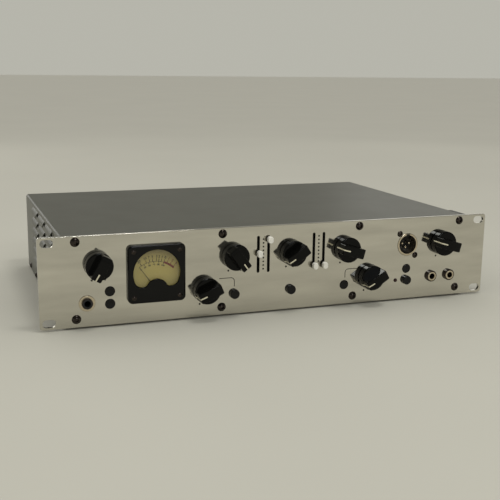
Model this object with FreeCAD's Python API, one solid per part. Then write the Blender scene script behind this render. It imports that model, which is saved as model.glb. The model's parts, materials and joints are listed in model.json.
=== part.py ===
import FreeCAD, Part
import math
import os
from FreeCAD import Vector

# A rack-width bass amplifier head, in millimetres.
# While it is modelled, x runs to the right of the panel's middle, y runs back from the panel's
# front face, and z rises from the panel's lower edge. Every piece is moved at the end, so that
# the origin lies under the middle of the whole head, on the surface that it stands on.

# Front panel
panel_width = 482.6
panel_height = 88.1
panel_thickness = 3.0
panel_corner = 3.0
rack_slot_length = 12.4
rack_slot_width = 7.8
rack_slot_inset = 8.75
rack_slot_pitch = 76.2
rack_ear = 21.3
panel_edge_round = 0.4
fitting_clearance = 0.2

# Casing
chassis_width = panel_width - 2 * rack_ear
chassis_depth = 284.0
cover_height = 87.2
cover_sheet = 1.5
cover_bend = 3.0
cover_gap = 1.0
cover_front_round = 1.2
tray_sheet = 1.5
tray_side_height = 18.0
rear_sheet = 1.5
return_depth = 14.0
foot_radius = 6.35
foot_height = 2.0
foot_round = 0.5
foot_inset = 30.0
foot_pitch_x = 380.0
bracket_thickness = 3.5
bracket_reach = 40.0
bracket_foot = 16.0
bracket_foot_drop = 12.7
bracket_height = 66.0
bracket_top = 86.6

# Side louvres
louvre_length = 43.0
louvre_height = 5.0
louvre_reach = 3.0
louvre_skin = 1.0
louvre_bulge_reach = 0.78
louvre_bulge_height = 0.45
louvre_first_depth = 76.0
louvre_depth_pitch = 57.0
louvre_columns = 3
louvre_top_row = 79.5
louvre_row_pitch = 11.5
louvre_rows = 6

# The controls are set out on equal columns across the casing, counted from its middle
column_count = 44
column_pitch = chassis_width / column_count

# Button-head screws that hold the panel, the cover and the fittings
socket_radius_share = 0.42
socket_floor_share = 0.35
panel_screw_top_inset = 5.7
panel_screw_bottom = 8.1
panel_screw_top_columns = (
    -20.67 * column_pitch,
    -6.25 * column_pitch,
    8.74 * column_pitch,
    20.82 * column_pitch,
)
panel_screw_bottom_columns = (
    -20.72 * column_pitch,
    -6.33 * column_pitch,
    8.19 * column_pitch,
    20.74 * column_pitch,
)
panel_screw_head = 4.5
panel_screw_rise = 3.0
panel_screw_shank = 2.0
panel_screw_length = 8.0
cover_screw_head = 3.5
cover_screw_rise = 2.0
cover_screw_shank = 1.5
cover_screw_length = 6.0
cover_screw_height = 4.6
cover_screw_rear = 28.0
cover_screw_pitch = 52.0
cover_screw_count = 5
hole_clearance = 0.05
small_screw_head = 3.3
small_screw_rise = 1.8
small_screw_shank = 1.5
small_screw_spare = 2.0
meter_screw_head = 2.4
meter_screw_rise = 0.9

# Bar knobs, and the potentiometers that they turn
upper_row = 59.3
lower_row = 27.5
knob_places = (
    ("input_knob", -18.57 * column_pitch, upper_row, 240.5),
    ("drive_knob", -7.99 * column_pitch, lower_row, 203.5),
    ("bass_knob", -5.02 * column_pitch, upper_row, -52.5),
    ("middle_knob", 1.16 * column_pitch, upper_row, 214.0),
    ("treble_knob", 7.24 * column_pitch, upper_row, 165.0),
    ("sub_knob", 10.13 * column_pitch, lower_row, 210.0),
    ("output_knob", 18.72 * column_pitch, upper_row, 164.7),
)
knob_radius = 13.2
knob_lift = 1.0
knob_skirt_rise = 9.8
knob_skirt_round = 1.5
knob_rise = 21.2
knob_bar_arch = 1.1
knob_bar_width = 10.3
knob_bar_foot = 12.55
knob_bar_tip = 12.15
knob_bar_corner = 1.2
knob_bar_round = 0.7
knob_line_width = 1.3
knob_line_depth = 0.3
knob_line_start = 5.0
knob_line_foot = 5.0
knob_hollow_radius = 11.0
knob_hollow_depth = 2.5
shaft_radius = 3.0
shaft_in_knob = 14.0
shaft_fit = 0.05
bush_radius = 3.5
pot_radius = 8.0
pot_depth = 10.0
pot_hole_radius = 7.2
pot_tag_half_width = 5.6
pot_tag_drop = 10.0
pot_tag_setback = 3.0
bush_spare = 0.4
shaft_end_gap = 0.3
nut_radius = 5.6
nut_height = 2.0

# Push buttons: name, x, z, and whether the button is latched in
upper_button_row = 33.1
lower_button_row = 20.8
button_places = (
    ("input_upper_button", -17.5 * column_pitch, upper_button_row, True),
    ("input_lower_button", -17.5 * column_pitch, lower_button_row, True),
    ("bass_button", -5.02 * column_pitch, lower_button_row, False),
    ("middle_button", 1.07 * column_pitch, lower_button_row, False),
    ("treble_button", 7.16 * column_pitch, lower_button_row, True),
    ("output_upper_button", 14.52 * column_pitch, upper_button_row, True),
    ("output_lower_button", 14.52 * column_pitch, lower_button_row, False),
)
button_radius = 4.8
button_rise = 4.0
button_travel = 3.2
button_length = 10.0
button_clearance = 0.2
button_round = 0.8
button_dish_radius = 3.7
button_dish_depth = 0.5
stem_radius = 1.5
stem_length = 4.9
switch_side = 9.0
switch_depth = 5.0

# Slide controls: name, x, and the height of the lever at rest
slider_middle = 59.4
slider_travel = 30.0
slider_pair_half = 5.5
low_pair_x = -1.945 * column_pitch
high_pair_x = 4.13 * column_pitch
slider_places = (
    ("low_cut_slider", low_pair_x - slider_pair_half, slider_middle + 1.1),
    ("low_boost_slider", low_pair_x + slider_pair_half, slider_middle + slider_travel / 2),
    ("high_cut_slider", high_pair_x - slider_pair_half, slider_middle - slider_travel / 2),
    ("high_boost_slider", high_pair_x + slider_pair_half, slider_middle - slider_travel / 2),
)
slider_slot_width = 3.0
slider_slot_length = 37.8
slider_body_width = 8.0
slider_body_length = 46.0
lever_width = 2.0
lever_height = 5.0
lever_clearance = 0.2
lever_end_clearance = 0.6
lever_depth = 11.0
cap_width = 5.4
cap_height = 7.2
cap_front = 7.5
cap_back = 3.0
cap_round = 0.8

# Level meter
meter_x = -13.0 * column_pitch
meter_z = 48.0
bezel_side = 57.0
bezel_rise = 5.0
bezel_corner = 5.0
bezel_round = 2.0
bezel_front_wall = 2.0
bezel_screw_offset = 22.6
window_lift = 0.5
window_radius = 23.1
window_floor = 35.4
window_outer_round = 8.0
window_inner_round = 4.0
window_edge_round = 0.6
needle_pivot_z = 32.0
arch_radius = 11.0
glass_radius = 26.0
glass_thickness = 1.5
meter_case_wall = 1.2
meter_case_depth = 30.0
meter_hole_clearance = 0.3
dial_depth = 3.0
dial_thickness = 0.6
dial_slot_radius = 3.2
needle_length = 27.6
needle_width = 0.9
needle_tip_width = 0.27
needle_thickness = 0.5
needle_depth = 0.8
needle_rest_angle = 126.0
needle_hub_radius = 2.2
needle_hub_thickness = 1.0
staff_radius = 0.7
staff_end = 12.8
staff_bore_end = 16.0
movement_radius = 9.0
movement_depth = 8.0

# Power lamp
lamp_x = 13.26 * column_pitch
lamp_z = 21.0
lamp_radius = 2.0
lamp_rise = 0.9
lamp_round = 0.7
lamp_flange_radius = 2.6
lamp_flange_thickness = 1.0
lamp_lead_radius = 0.25
lamp_lead_spread = 1.0

# Jack sockets
jack_row = 23.0
input_jack_place = (-19.69 * column_pitch, jack_row)
output_jack_places = ((17.58 * column_pitch, jack_row), (19.8 * column_pitch, jack_row))
jack_bore = 3.2
jack_bore_depth = 26.0
jack_housing_side = 14.0
jack_housing_depth = 28.0
jack_barrel_round = 0.4
input_barrel_radius = 4.4
input_barrel_rise = 3.4
input_nut_radius = 5.3
input_nut_setback = 0.3
input_washer_radius = 7.9
input_washer_thickness = 0.8
washer_round = 0.5
nut_round = 0.6
output_barrel_radius = 4.9
output_barrel_rise = 3.5
output_nut_radius = 6.1
output_nut_rise = 3.1

# Three-pin line output
line_x = 14.54 * column_pitch
line_z = 59.3
line_shell_radius = 12.0
line_shell_bore = 10.1
line_seat_bore = 11.0
line_shell_depth = 22.0
line_shell_rise = 0.6
line_shell_round = 0.5
line_mouth_depth = 3.4
line_insert_depth = 12.0
line_flange_width = 26.0
line_flange_height = 31.0
line_flange_thickness = 2.0
line_screw_offset_x = 9.6
line_screw_offset_z = 12.0
line_key_width = 3.6
line_key_height = 3.3
line_key_setback = 0.3
pin_radius = 1.2
pin_round = 0.7
pin_recess = 3.6
pin_tail = 4.0
pin_spread = 4.0
pin_upper = 0.7
pin_lower = -3.5

# Inside
board_thickness = 1.6
board_left = -18.8 * column_pitch
board_right = 16.5 * column_pitch
board_bottom = 8.0
board_top = 80.0
board_margin = 1.0
power_board_width = 120.0
power_board_length = 150.0
power_board_front = 45.0
power_board_height = 8.0
power_board_inset = 6.0
boss_radius = 3.5
capacitor_radius = 12.5
capacitor_height = 40.0
capacitor_round = 1.0
capacitor_pitch = 30.0
transformer_x = -140.0
transformer_y = 150.0
transformer_radius = 50.0
transformer_bore = 12.0
transformer_height = 40.0
transformer_round = 9.0
clamp_radius = 27.0
clamp_thickness = 2.0
clamp_bolt_radius = 3.0
clamp_nut_radius = 6.0
clamp_nut_height = 5.0
heatsink_width = 100.0
heatsink_base = 6.0
heatsink_length = 120.0
heatsink_height = 58.0
heatsink_fin = 2.0
heatsink_fins = 13
heatsink_fin_setback = 28.0
heatsink_fan_gap = 10.0
transistor_count = 4
transistor_width = 15.6
transistor_length = 20.0
transistor_height = 5.0
transistor_setback = 4.0

# Rear fittings
fan_x = 120.0
rear_row = 43.6
fan_side = 60.0
fan_depth = 20.0
fan_corner = 4.0
fan_bore = 28.5
fan_screw_offset = 25.0
fan_hub_radius = 13.0
fan_blade_radius = 27.6
fan_blades = 7
fan_blade_chord = 14.0
fan_blade_thickness = 1.4
fan_blade_pitch = 40.0
fan_strut = 3.0
fan_strut_thickness = 2.0
fan_strut_overlap = 1.0
fan_stator_radius = 9.0
fan_spindle_radius = 1.5
fan_end_gap = 1.5
fan_stator_gap = 4.5
guard_ring_width = 3.2
guard_ring_pitch = 5.6
guard_rings = 4
guard_first_radius = 8.0
guard_spoke = 2.4
guard_spoke_angles = (45, 135)
inlet_x = -160.0
inlet_flange_width = 76.0
inlet_flange_height = 31.0
inlet_flange_thickness = 2.0
inlet_flange_corner = 3.0
inlet_body_width = 56.0
inlet_body_height = 27.0
inlet_body_depth = 24.0
inlet_screw_offset = 33.0
inlet_plug_offset = 11.0
inlet_plug_width = 24.6
inlet_plug_height = 16.8
inlet_plug_corner = 3.0
inlet_plug_depth = 16.0
blade_thickness = 2.0
blade_height = 4.0
blade_recess = 4.6
blade_spread = 7.0
blade_drop = 2.0
rocker_offset = -16.5
rocker_width = 13.0
rocker_height = 17.0
rocker_clearance = 0.5
rocker_end_clearance = 1.3
rocker_tilt = 10.0
rocker_rise = 2.0
rocker_dip = 1.35
rocker_foot_height = 13.6
rocker_thickness = 6.0
rocker_pivot_depth = 4.0
rocker_pin_radius = 1.2
rocker_pin_length = 2.0
rocker_pin_gap = 0.1
speaker_places = (-60.0, -15.0)
speaker_body_radius = 12.0
speaker_well_radius = 8.8
speaker_well_depth = 17.5
speaker_body_depth = 22.0
speaker_flange_thickness = 1.5
speaker_flange_corner = 2.5
speaker_post_radius = 4.2
speaker_post_recess = 4.8

# How far a cut or a root runs past a face, and how near an edge lies to where it is looked for
overlap = 0.1
pick_margin = 0.1

OUT = Vector(0, -1, 0)
BACK = Vector(0, 1, 0)
UP = Vector(0, 0, 1)

wall_front = panel_thickness
wall_back = wall_front + tray_sheet
board_front = wall_back + pot_depth
board_back = board_front + board_thickness
lever_front = -(cap_front + cap_back) / 2
inner_half_width = chassis_width / 2 - cover_sheet
inner_height = cover_height - cover_sheet
rear_inside = chassis_depth - rear_sheet
rack_half_span = panel_width / 2 - rack_slot_inset
rack_slot_heights = (
    panel_height / 2 - rack_slot_pitch / 2,
    panel_height / 2 + rack_slot_pitch / 2,
)
line_key_front = line_mouth_depth + line_key_setback
window_z = meter_z + window_lift


def block(x0, x1, y0, y1, z0, z1):
    return Part.makeBox(x1 - x0, y1 - y0, z1 - z0, Vector(x0, y0, z0))


def disc(x, z, y0, y1, radius):
    """A cylinder that lies along y."""
    return Part.makeCylinder(radius, y1 - y0, Vector(x, y0, z), BACK)


def post(x, y, z0, z1, radius):
    """A cylinder that stands upright."""
    return Part.makeCylinder(radius, z1 - z0, Vector(x, y, z0), UP)


def ring(x, z, y0, y1, radius, bore):
    return disc(x, z, y0, y1, radius).cut(disc(x, z, y0, y1, bore))


def rounded_ring(x, z, y0, y1, radius, bore, rounding):
    """A ring whose outer front edge is rounded."""
    body = disc(x, z, y0, y1, radius)
    rim = [e for e in body.Edges if e.Closed and e.CenterOfMass.y < y0 + pick_margin]
    return body.makeFillet(rounding, rim).cut(disc(x, z, y0, y1, bore))


def edges_along(shape, axis):
    """The straight edges of a shape that run along an axis."""
    found = []
    for edge in shape.Edges:
        along = edge.tangentAt(edge.FirstParameter)
        if edge.Curve.TypeId == "Part::GeomLine" and abs(along.dot(axis)) > 0.999:
            found.append(edge)
    return found


def plate(x, z, width, height, corner, y0, y1):
    """A plate with rounded corners, centred on x and z."""
    blank = block(x - width / 2, x + width / 2, y0, y1, z - height / 2, z + height / 2)
    return blank.makeFillet(corner, edges_along(blank, BACK))


def slot(x, z, length, width, y0, y1, upright=False):
    """A slot with round ends, centred on x and z."""
    half = (length - width) / 2
    radius = width / 2
    if upright:
        middle = block(x - radius, x + radius, y0, y1, z - half, z + half)
        ends = [disc(x, z - half, y0, y1, radius), disc(x, z + half, y0, y1, radius)]
    else:
        middle = block(x - half, x + half, y0, y1, z - radius, z + radius)
        ends = [disc(x - half, z, y0, y1, radius), disc(x + half, z, y0, y1, radius)]
    return middle.fuse(ends).removeSplitter()


def prism(points, direction):
    """A closed outline pushed along a direction."""
    outline = Part.makePolygon(list(points) + [points[0]])
    return Part.Face(outline).extrude(direction)


def hexagon(radius, height):
    """A six-sided bar that stands on the origin."""
    corners = []
    for step in range(6):
        angle = math.radians(60 * step)
        corners.append(Vector(radius * math.cos(angle), radius * math.sin(angle), 0))
    return prism(corners, UP * height)


def stand(shape, foot, direction):
    """Turns an upright shape to a direction and puts its foot at a point."""
    placed = shape.copy()
    placed.Placement = FreeCAD.Placement(foot, FreeCAD.Rotation(UP, direction))
    return placed


def fused(shapes):
    return shapes[0].fuse(shapes[1:]).removeSplitter()


def button_screw(head, rise, shank, length):
    """A domed screw with a six-sided socket. Its seat is at the origin and its head is up."""
    foot = Vector(head, 0, 0)
    top = Vector(0, 0, rise)
    sphere_radius = (head * head + rise * rise) / (2 * rise)
    half_angle = math.asin(head / sphere_radius) / 2
    middle = Vector(
        sphere_radius * math.sin(half_angle),
        0,
        rise - sphere_radius * (1 - math.cos(half_angle)),
    )
    outline = Part.Wire([
        Part.LineSegment(Vector(0, 0, 0), foot).toShape(),
        Part.Arc(foot, middle, top).toShape(),
        Part.LineSegment(top, Vector(0, 0, 0)).toShape(),
    ])
    dome = Part.Face(outline).revolve(Vector(0, 0, 0), UP, 360)
    stem = Part.makeCylinder(shank, length, Vector(0, 0, -length), UP)
    socket = hexagon(head * socket_radius_share, rise)
    socket.translate(Vector(0, 0, rise * socket_floor_share))
    return dome.fuse(stem).removeSplitter().cut(socket)


def screw_hole(x, z, y0, y1, shank):
    return disc(x, z, y0, y1, shank + hole_clearance)


def panel_screw_points():
    top = panel_height - panel_screw_top_inset
    points = [(x, top) for x in panel_screw_top_columns]
    return points + [(x, panel_screw_bottom) for x in panel_screw_bottom_columns]


def meter_screw_points():
    points = []
    for side_x in (-1, 1):
        for side_z in (-1, 1):
            points.append((meter_x + side_x * bezel_screw_offset, meter_z + side_z * bezel_screw_offset))
    return points


def line_screw_points():
    return [
        (line_x - line_screw_offset_x, line_z + line_screw_offset_z),
        (line_x + line_screw_offset_x, line_z - line_screw_offset_z),
    ]


def speaker_screw_points():
    points = []
    for x in speaker_places:
        points.append((x - line_screw_offset_x, rear_row + line_screw_offset_z))
        points.append((x + line_screw_offset_x, rear_row - line_screw_offset_z))
    return points


def inlet_screw_points():
    return [(inlet_x - inlet_screw_offset, rear_row), (inlet_x + inlet_screw_offset, rear_row)]


def fan_screw_points():
    points = []
    for side_x in (-1, 1):
        for side_z in (-1, 1):
            points.append((fan_x + side_x * fan_screw_offset, rear_row + side_z * fan_screw_offset))
    return points


def slider_slots(y0, y1):
    slots = []
    for _, x, _ in slider_places:
        slots.append(slot(x, slider_middle, slider_slot_length, slider_slot_width, y0, y1, True))
    return slots


def front_holes(y0, y1, pot_hole):
    """The openings that the panel and the tray's front wall share."""
    holes = slider_slots(y0, y1)
    for _, x, z, _ in knob_places:
        holes.append(disc(x, z, y0, y1, pot_hole))
    for _, x, z, _ in button_places:
        holes.append(disc(x, z, y0, y1, button_radius + button_clearance))
    for x, z in panel_screw_points():
        holes.append(screw_hole(x, z, y0, y1, panel_screw_shank))
    for x, z in meter_screw_points():
        holes.append(screw_hole(x, z, y0, y1, small_screw_shank))
    for x, z in line_screw_points():
        holes.append(screw_hole(x, z, y0, y1, small_screw_shank))
    for x, z in output_jack_places:
        holes.append(disc(x, z, y0, y1, output_barrel_radius + hole_clearance))
    input_x, input_z = input_jack_place
    holes.append(disc(input_x, input_z, y0, y1, input_barrel_radius + hole_clearance))
    holes.append(disc(meter_x, meter_z, y0, y1, glass_radius + meter_hole_clearance))
    holes.append(disc(line_x, line_z, y0, y1, line_shell_radius + fitting_clearance))
    holes.append(disc(lamp_x, lamp_z, y0, y1, lamp_radius + hole_clearance))
    return holes


def front_panel():
    face = plate(0, panel_height / 2, panel_width, panel_height, panel_corner, 0, panel_thickness)
    rim = [e for e in face.Edges if e.CenterOfMass.y < pick_margin]
    face = face.makeFillet(panel_edge_round, rim)
    holes = front_holes(0, panel_thickness, pot_hole_radius)
    for side in (-1, 1):
        for z in rack_slot_heights:
            holes.append(slot(side * rack_half_span, z, rack_slot_length, rack_slot_width,
                              0, panel_thickness))
    return face.cut(holes)


def cover_screw_depths():
    last = chassis_depth - cover_screw_rear
    return [last - step * cover_screw_pitch for step in range(cover_screw_count)]


def cover_screw_holes():
    holes = []
    for y in cover_screw_depths():
        holes.append(Part.makeCylinder(
            cover_screw_shank + hole_clearance, chassis_width,
            Vector(-chassis_width / 2, y, cover_screw_height), Vector(1, 0, 0)))
    return holes


def cover_room(front, back):
    """The space inside the cover, with its bent upper corners."""
    room = block(-inner_half_width, inner_half_width, front, back, 0, inner_height)
    upper = [e for e in edges_along(room, BACK) if e.CenterOfMass.z > cover_height / 2]
    return room.makeFillet(cover_bend - cover_sheet, upper)


def power_board_bosses():
    """Pressed bosses on the tray's floor, which carry the power board."""
    bosses = []
    reach_x = power_board_width / 2 - power_board_inset
    for x in (-reach_x, reach_x):
        for y in (power_board_front + power_board_inset,
                  power_board_front + power_board_length - power_board_inset):
            bosses.append(post(x, y, tray_sheet, power_board_height, boss_radius))
    return bosses


def chassis_tray():
    """The floor, the front wall behind the panel, and low flanges inside the cover's sides."""
    half = inner_half_width
    floor = block(-half, half, wall_front, chassis_depth, 0, tray_sheet)
    wall = block(-half, half, wall_front, wall_back, 0, inner_height)
    lip = block(-half, half, wall_front, wall_front + return_depth, inner_height - tray_sheet, inner_height)
    flanges = [
        block(-half, -half + tray_sheet, wall_front, rear_inside, 0, tray_side_height),
        block(half - tray_sheet, half, wall_front, rear_inside, 0, tray_side_height),
    ]
    tray = fused([floor, wall, lip] + flanges + power_board_bosses())
    tray = tray.common(cover_room(wall_front, chassis_depth))
    holes = front_holes(wall_front, wall_back, bush_radius + hole_clearance)
    for x, z in panel_screw_points():
        holes.append(screw_hole(x, z, wall_back, wall_front + panel_screw_length, panel_screw_shank))
    return tray.cut(holes + cover_screw_holes())


def louvre_outline(base, reach, top, bottom, side):
    """The bulged section of a louvre, from the wall at its top to its open lower edge."""
    start = Vector(side * base, 0, top)
    middle = Vector(side * (base + reach * louvre_bulge_reach), 0,
                    bottom + (top - bottom) * louvre_bulge_height)
    finish = Vector(side * (base + reach), 0, bottom)
    corner = Vector(side * base, 0, bottom)
    return Part.Wire([
        Part.Arc(start, middle, finish).toShape(),
        Part.LineSegment(finish, corner).toShape(),
        Part.LineSegment(corner, start).toShape(),
    ])


def louvre(side, depth, height):
    """The hood of one louvre, open below and at its front end, and the space that opens the wall."""
    wall = chassis_width / 2
    half = louvre_length / 2
    bottom = height - louvre_height / 2
    outer = Part.Face(louvre_outline(wall, louvre_reach, height + louvre_height / 2 + louvre_skin,
                                     bottom, side))
    hood = outer.extrude(Vector(0, louvre_length, 0))
    hood.translate(Vector(0, depth - half, 0))
    inner = Part.Face(louvre_outline(wall, louvre_reach - louvre_skin, height + louvre_height / 2,
                                     bottom, side))
    space = inner.extrude(Vector(0, louvre_length - louvre_skin, 0))
    space.translate(Vector(0, depth - half, 0))
    near = min(side * (wall - cover_sheet), side * wall)
    opening = block(near, near + cover_sheet, depth - half + louvre_skin, depth + half - louvre_skin,
                    bottom, height + louvre_height / 2)
    return hood, space.fuse(opening)


def top_cover():
    """The lid and both sides, bent from one sheet, with rows of louvres."""
    front = panel_thickness + cover_gap
    half = chassis_width / 2
    outer = block(-half, half, front, chassis_depth, 0, cover_height)
    upper = [e for e in edges_along(outer, BACK) if e.CenterOfMass.z > cover_height / 2]
    outer = outer.makeFillet(cover_bend, upper)
    front_rim = [e for e in outer.Edges if abs(e.CenterOfMass.y - front) < pick_margin
                 and e.CenterOfMass.z > cover_height - cover_bend]
    outer = outer.makeFillet(cover_front_round, front_rim)
    cover = outer.cut(cover_room(front, chassis_depth))
    hoods = []
    spaces = []
    for side in (-1, 1):
        for column in range(louvre_columns):
            depth = louvre_first_depth + column * louvre_depth_pitch
            for row in range(louvre_rows):
                hood, space = louvre(side, depth, louvre_top_row - row * louvre_row_pitch)
                hoods.append(hood)
                spaces.append(space)
    cover = cover.fuse(hoods)
    return cover.cut(spaces + cover_screw_holes())


def guard_slots():
    """Arc-shaped openings in front of the fan, broken by four spokes."""
    rings = []
    for step in range(guard_rings):
        inner = guard_first_radius + step * guard_ring_pitch
        rings.append(ring(fan_x, rear_row, rear_inside, chassis_depth, inner + guard_ring_width, inner))
    reach = guard_first_radius + guard_rings * guard_ring_pitch
    spoke = block(-reach, reach, rear_inside, chassis_depth, -guard_spoke / 2, guard_spoke / 2)
    spokes = []
    for angle in guard_spoke_angles:
        turned = spoke.copy()
        turned.rotate(Vector(0, 0, 0), BACK, angle)
        turned.translate(Vector(fan_x, 0, rear_row))
        spokes.append(turned)
    return [one.cut(spokes) for one in rings]


def rear_panel():
    """The rear wall, with a return under the lid and one on the tray's floor."""
    half = inner_half_width
    wall = block(-half, half, rear_inside, chassis_depth, tray_sheet, inner_height)
    start = chassis_depth - return_depth
    reach = half - tray_sheet - fitting_clearance
    upper = block(-reach, reach, start, chassis_depth, inner_height - rear_sheet, inner_height)
    lower = block(-reach, reach, start, chassis_depth, tray_sheet, tray_sheet + rear_sheet)
    panel = fused([wall, upper, lower]).common(cover_room(start, chassis_depth))
    holes = guard_slots()
    holes.append(block(inlet_x - inlet_body_width / 2 - fitting_clearance,
                       inlet_x + inlet_body_width / 2 + fitting_clearance,
                       rear_inside, chassis_depth,
                       rear_row - inlet_body_height / 2 - fitting_clearance,
                       rear_row + inlet_body_height / 2 + fitting_clearance))
    for x in speaker_places:
        holes.append(disc(x, rear_row, rear_inside, chassis_depth, speaker_body_radius + fitting_clearance))
    for x, z in speaker_screw_points() + inlet_screw_points() + fan_screw_points():
        holes.append(screw_hole(x, z, rear_inside, chassis_depth, small_screw_shank))
    return panel.cut(holes)


def feet():
    pads = []
    for x in (-foot_pitch_x / 2, foot_pitch_x / 2):
        for y in (foot_inset, chassis_depth - foot_inset):
            pad = post(x, y, -foot_height, 0, foot_radius)
            lower = [e for e in pad.Edges if e.Closed and e.CenterOfMass.z < -foot_height + pick_margin]
            pads.append(pad.makeFillet(foot_round, lower))
    return pads


def ear_bracket():
    """An angle in the corner between the right rack ear and the cover's side."""
    side = chassis_width / 2
    leg = block(side, side + bracket_thickness, panel_thickness, bracket_reach,
                bracket_top - bracket_height, bracket_top)
    foot = block(side, side + bracket_foot, panel_thickness, panel_thickness + bracket_thickness,
                 bracket_top - bracket_height, bracket_top - bracket_foot_drop)
    return fused([leg, foot])


def panel_screws():
    screw = button_screw(panel_screw_head, panel_screw_rise, panel_screw_shank, panel_screw_length)
    return [stand(screw, Vector(x, 0, z), OUT) for x, z in panel_screw_points()]


def cover_screws():
    screw = button_screw(cover_screw_head, cover_screw_rise, cover_screw_shank, cover_screw_length)
    screws = []
    for side in (-1, 1):
        for y in cover_screw_depths():
            foot = Vector(side * chassis_width / 2, y, cover_screw_height)
            screws.append(stand(screw, foot, Vector(side, 0, 0)))
    return screws


def small_screws():
    """The meter's screws, the line output's, and those of the rear fittings."""
    meter = button_screw(meter_screw_head, meter_screw_rise, small_screw_shank,
                         bezel_rise + wall_back + small_screw_spare)
    front = button_screw(small_screw_head, small_screw_rise, small_screw_shank,
                         wall_back + line_flange_thickness)
    rear = button_screw(small_screw_head, small_screw_rise, small_screw_shank,
                        rear_sheet + inlet_flange_thickness + small_screw_spare)
    screws = [stand(meter, Vector(x, -bezel_rise, z), OUT) for x, z in meter_screw_points()]
    screws += [stand(front, Vector(x, 0, z), OUT) for x, z in line_screw_points()]
    for points, seat in (
        (speaker_screw_points(), chassis_depth + speaker_flange_thickness),
        (inlet_screw_points(), chassis_depth + inlet_flange_thickness),
        (fan_screw_points(), chassis_depth),
    ):
        screws += [stand(rear, Vector(x, seat, z), BACK) for x, z in points]
    return screws


def bar_section(inset):
    """The finger bar's section along its length: ends that lean in, under a slightly arched crest."""
    seat = knob_skirt_round - knob_skirt_rise
    foot = knob_bar_foot - inset
    tip = knob_bar_tip - inset
    shoulder = inset + knob_bar_arch - knob_rise
    return Part.Face(Part.Wire([
        Part.LineSegment(Vector(-foot, seat, 0), Vector(-tip, shoulder, 0)).toShape(),
        Part.Arc(Vector(-tip, shoulder, 0), Vector(0, inset - knob_rise, 0),
                 Vector(tip, shoulder, 0)).toShape(),
        Part.LineSegment(Vector(tip, shoulder, 0), Vector(foot, seat, 0)).toShape(),
        Part.LineSegment(Vector(foot, seat, 0), Vector(-foot, seat, 0)).toShape(),
    ]))


def knob_form(inset):
    """The round skirt and the finger bar on it, with every face moved in by an inset."""
    skirt = disc(0, 0, inset - knob_skirt_rise, -knob_lift, knob_radius - inset)
    rim = [e for e in skirt.Edges if e.Closed and e.CenterOfMass.y < -knob_skirt_rise + inset + pick_margin]
    skirt = skirt.makeFillet(knob_skirt_round - inset, rim)
    width = knob_bar_width - 2 * inset
    bar = bar_section(inset).extrude(UP * width)
    bar.translate(UP * (-width / 2))
    corners = [e for e in bar.Edges if abs(e.CenterOfMass.x) > knob_bar_tip - inset
               and abs(e.CenterOfMass.z) > width / 2 - pick_margin]
    bar = bar.makeFillet(knob_bar_corner - inset, corners)
    crest = [e for e in bar.Edges if e.CenterOfMass.y < knob_bar_arch + inset + pick_margin - knob_rise]
    bar = bar.makeFillet(knob_bar_round - inset, crest)
    return fused([skirt, bar])


def knob(x, z, angle):
    """One bar knob, built with its pointer along +x and then turned, and its shaft."""
    half_line = knob_line_width / 2
    line = block(knob_line_start, knob_radius, -knob_rise, -knob_line_foot, -half_line, half_line)
    line = line.cut(knob_form(knob_line_depth))
    hollow = disc(0, 0, -knob_lift - knob_hollow_depth, -knob_lift, knob_hollow_radius)
    bore = disc(0, 0, -shaft_in_knob, -knob_lift, shaft_radius + shaft_fit)
    body = knob_form(0).cut([line, hollow, bore])
    shaft = disc(0, 0, -shaft_in_knob, wall_back + pot_depth / 2, shaft_radius)
    pair = []
    for piece in (body, shaft):
        piece.rotate(Vector(0, 0, 0), OUT, angle)
        piece.translate(Vector(x, 0, z))
        pair.append(piece)
    return pair


def potentiometers():
    """A can behind the wall, and a bush through it, bored for the shaft."""
    bodies = []
    bush_front = wall_front - nut_height - bush_spare
    for _, x, z, _ in knob_places:
        can = disc(x, z, wall_back, board_front, pot_radius)
        bush = disc(x, z, bush_front, wall_back, bush_radius)
        tags = block(x - pot_tag_half_width, x + pot_tag_half_width, wall_back + pot_tag_setback,
                     board_front, z - pot_tag_drop, z)
        bore = disc(x, z, bush_front, wall_back + pot_depth / 2 + shaft_end_gap,
                    shaft_radius + shaft_fit)
        bodies.append(fused([can, bush, tags]).cut(bore))
    return bodies


def potentiometer_nuts():
    nuts = []
    for _, x, z, _ in knob_places:
        nut = stand(hexagon(nut_radius, nut_height), Vector(x, wall_front, z), OUT)
        nuts.append(nut.cut(disc(x, z, 0, wall_back, bush_radius + hole_clearance)))
    return nuts


def push_button(x, z, latched):
    """A round cap with a dished face, on a thin stem. A latched button lies one travel further in."""
    front = -button_rise
    if latched:
        front = front + button_travel
    back = front + button_length
    cap = disc(x, z, front, back, button_radius)
    rim = [e for e in cap.Edges if e.Closed and e.CenterOfMass.y < front + pick_margin]
    cap = cap.makeFillet(button_round, rim)
    ball = (button_dish_radius ** 2 + button_dish_depth ** 2) / (2 * button_dish_depth)
    cap = cap.cut(Part.makeSphere(ball, Vector(x, front + button_dish_depth - ball, z)))
    return fused([cap, disc(x, z, back, back + stem_length, stem_radius)])


def button_switches():
    bodies = []
    for _, x, z, _ in button_places:
        half = switch_side / 2
        body = block(x - half, x + half, board_front - switch_depth, board_front, z - half, z + half)
        bodies.append(body.cut(disc(x, z, board_front - switch_depth, board_front,
                                    stem_radius + shaft_fit)))
    return bodies


def slider_cap(x, z):
    """An oval cap with a pocket for its lever."""
    cap = slot(x, z, cap_height, cap_width, -cap_front, -cap_back, True)
    rim = [e for e in cap.Edges if e.CenterOfMass.y < -cap_front + pick_margin]
    cap = cap.makeFillet(cap_round, rim)
    pocket_half_width = lever_width / 2 + hole_clearance
    pocket_half_height = lever_height / 2 + hole_clearance
    pocket = block(x - pocket_half_width, x + pocket_half_width,
                   lever_front, -cap_back,
                   z - pocket_half_height, z + pocket_half_height)
    return cap.cut(pocket)


def slider_lever(x, z):
    return block(x - lever_width / 2, x + lever_width / 2, lever_front, lever_depth,
                 z - lever_height / 2, z + lever_height / 2)


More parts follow.
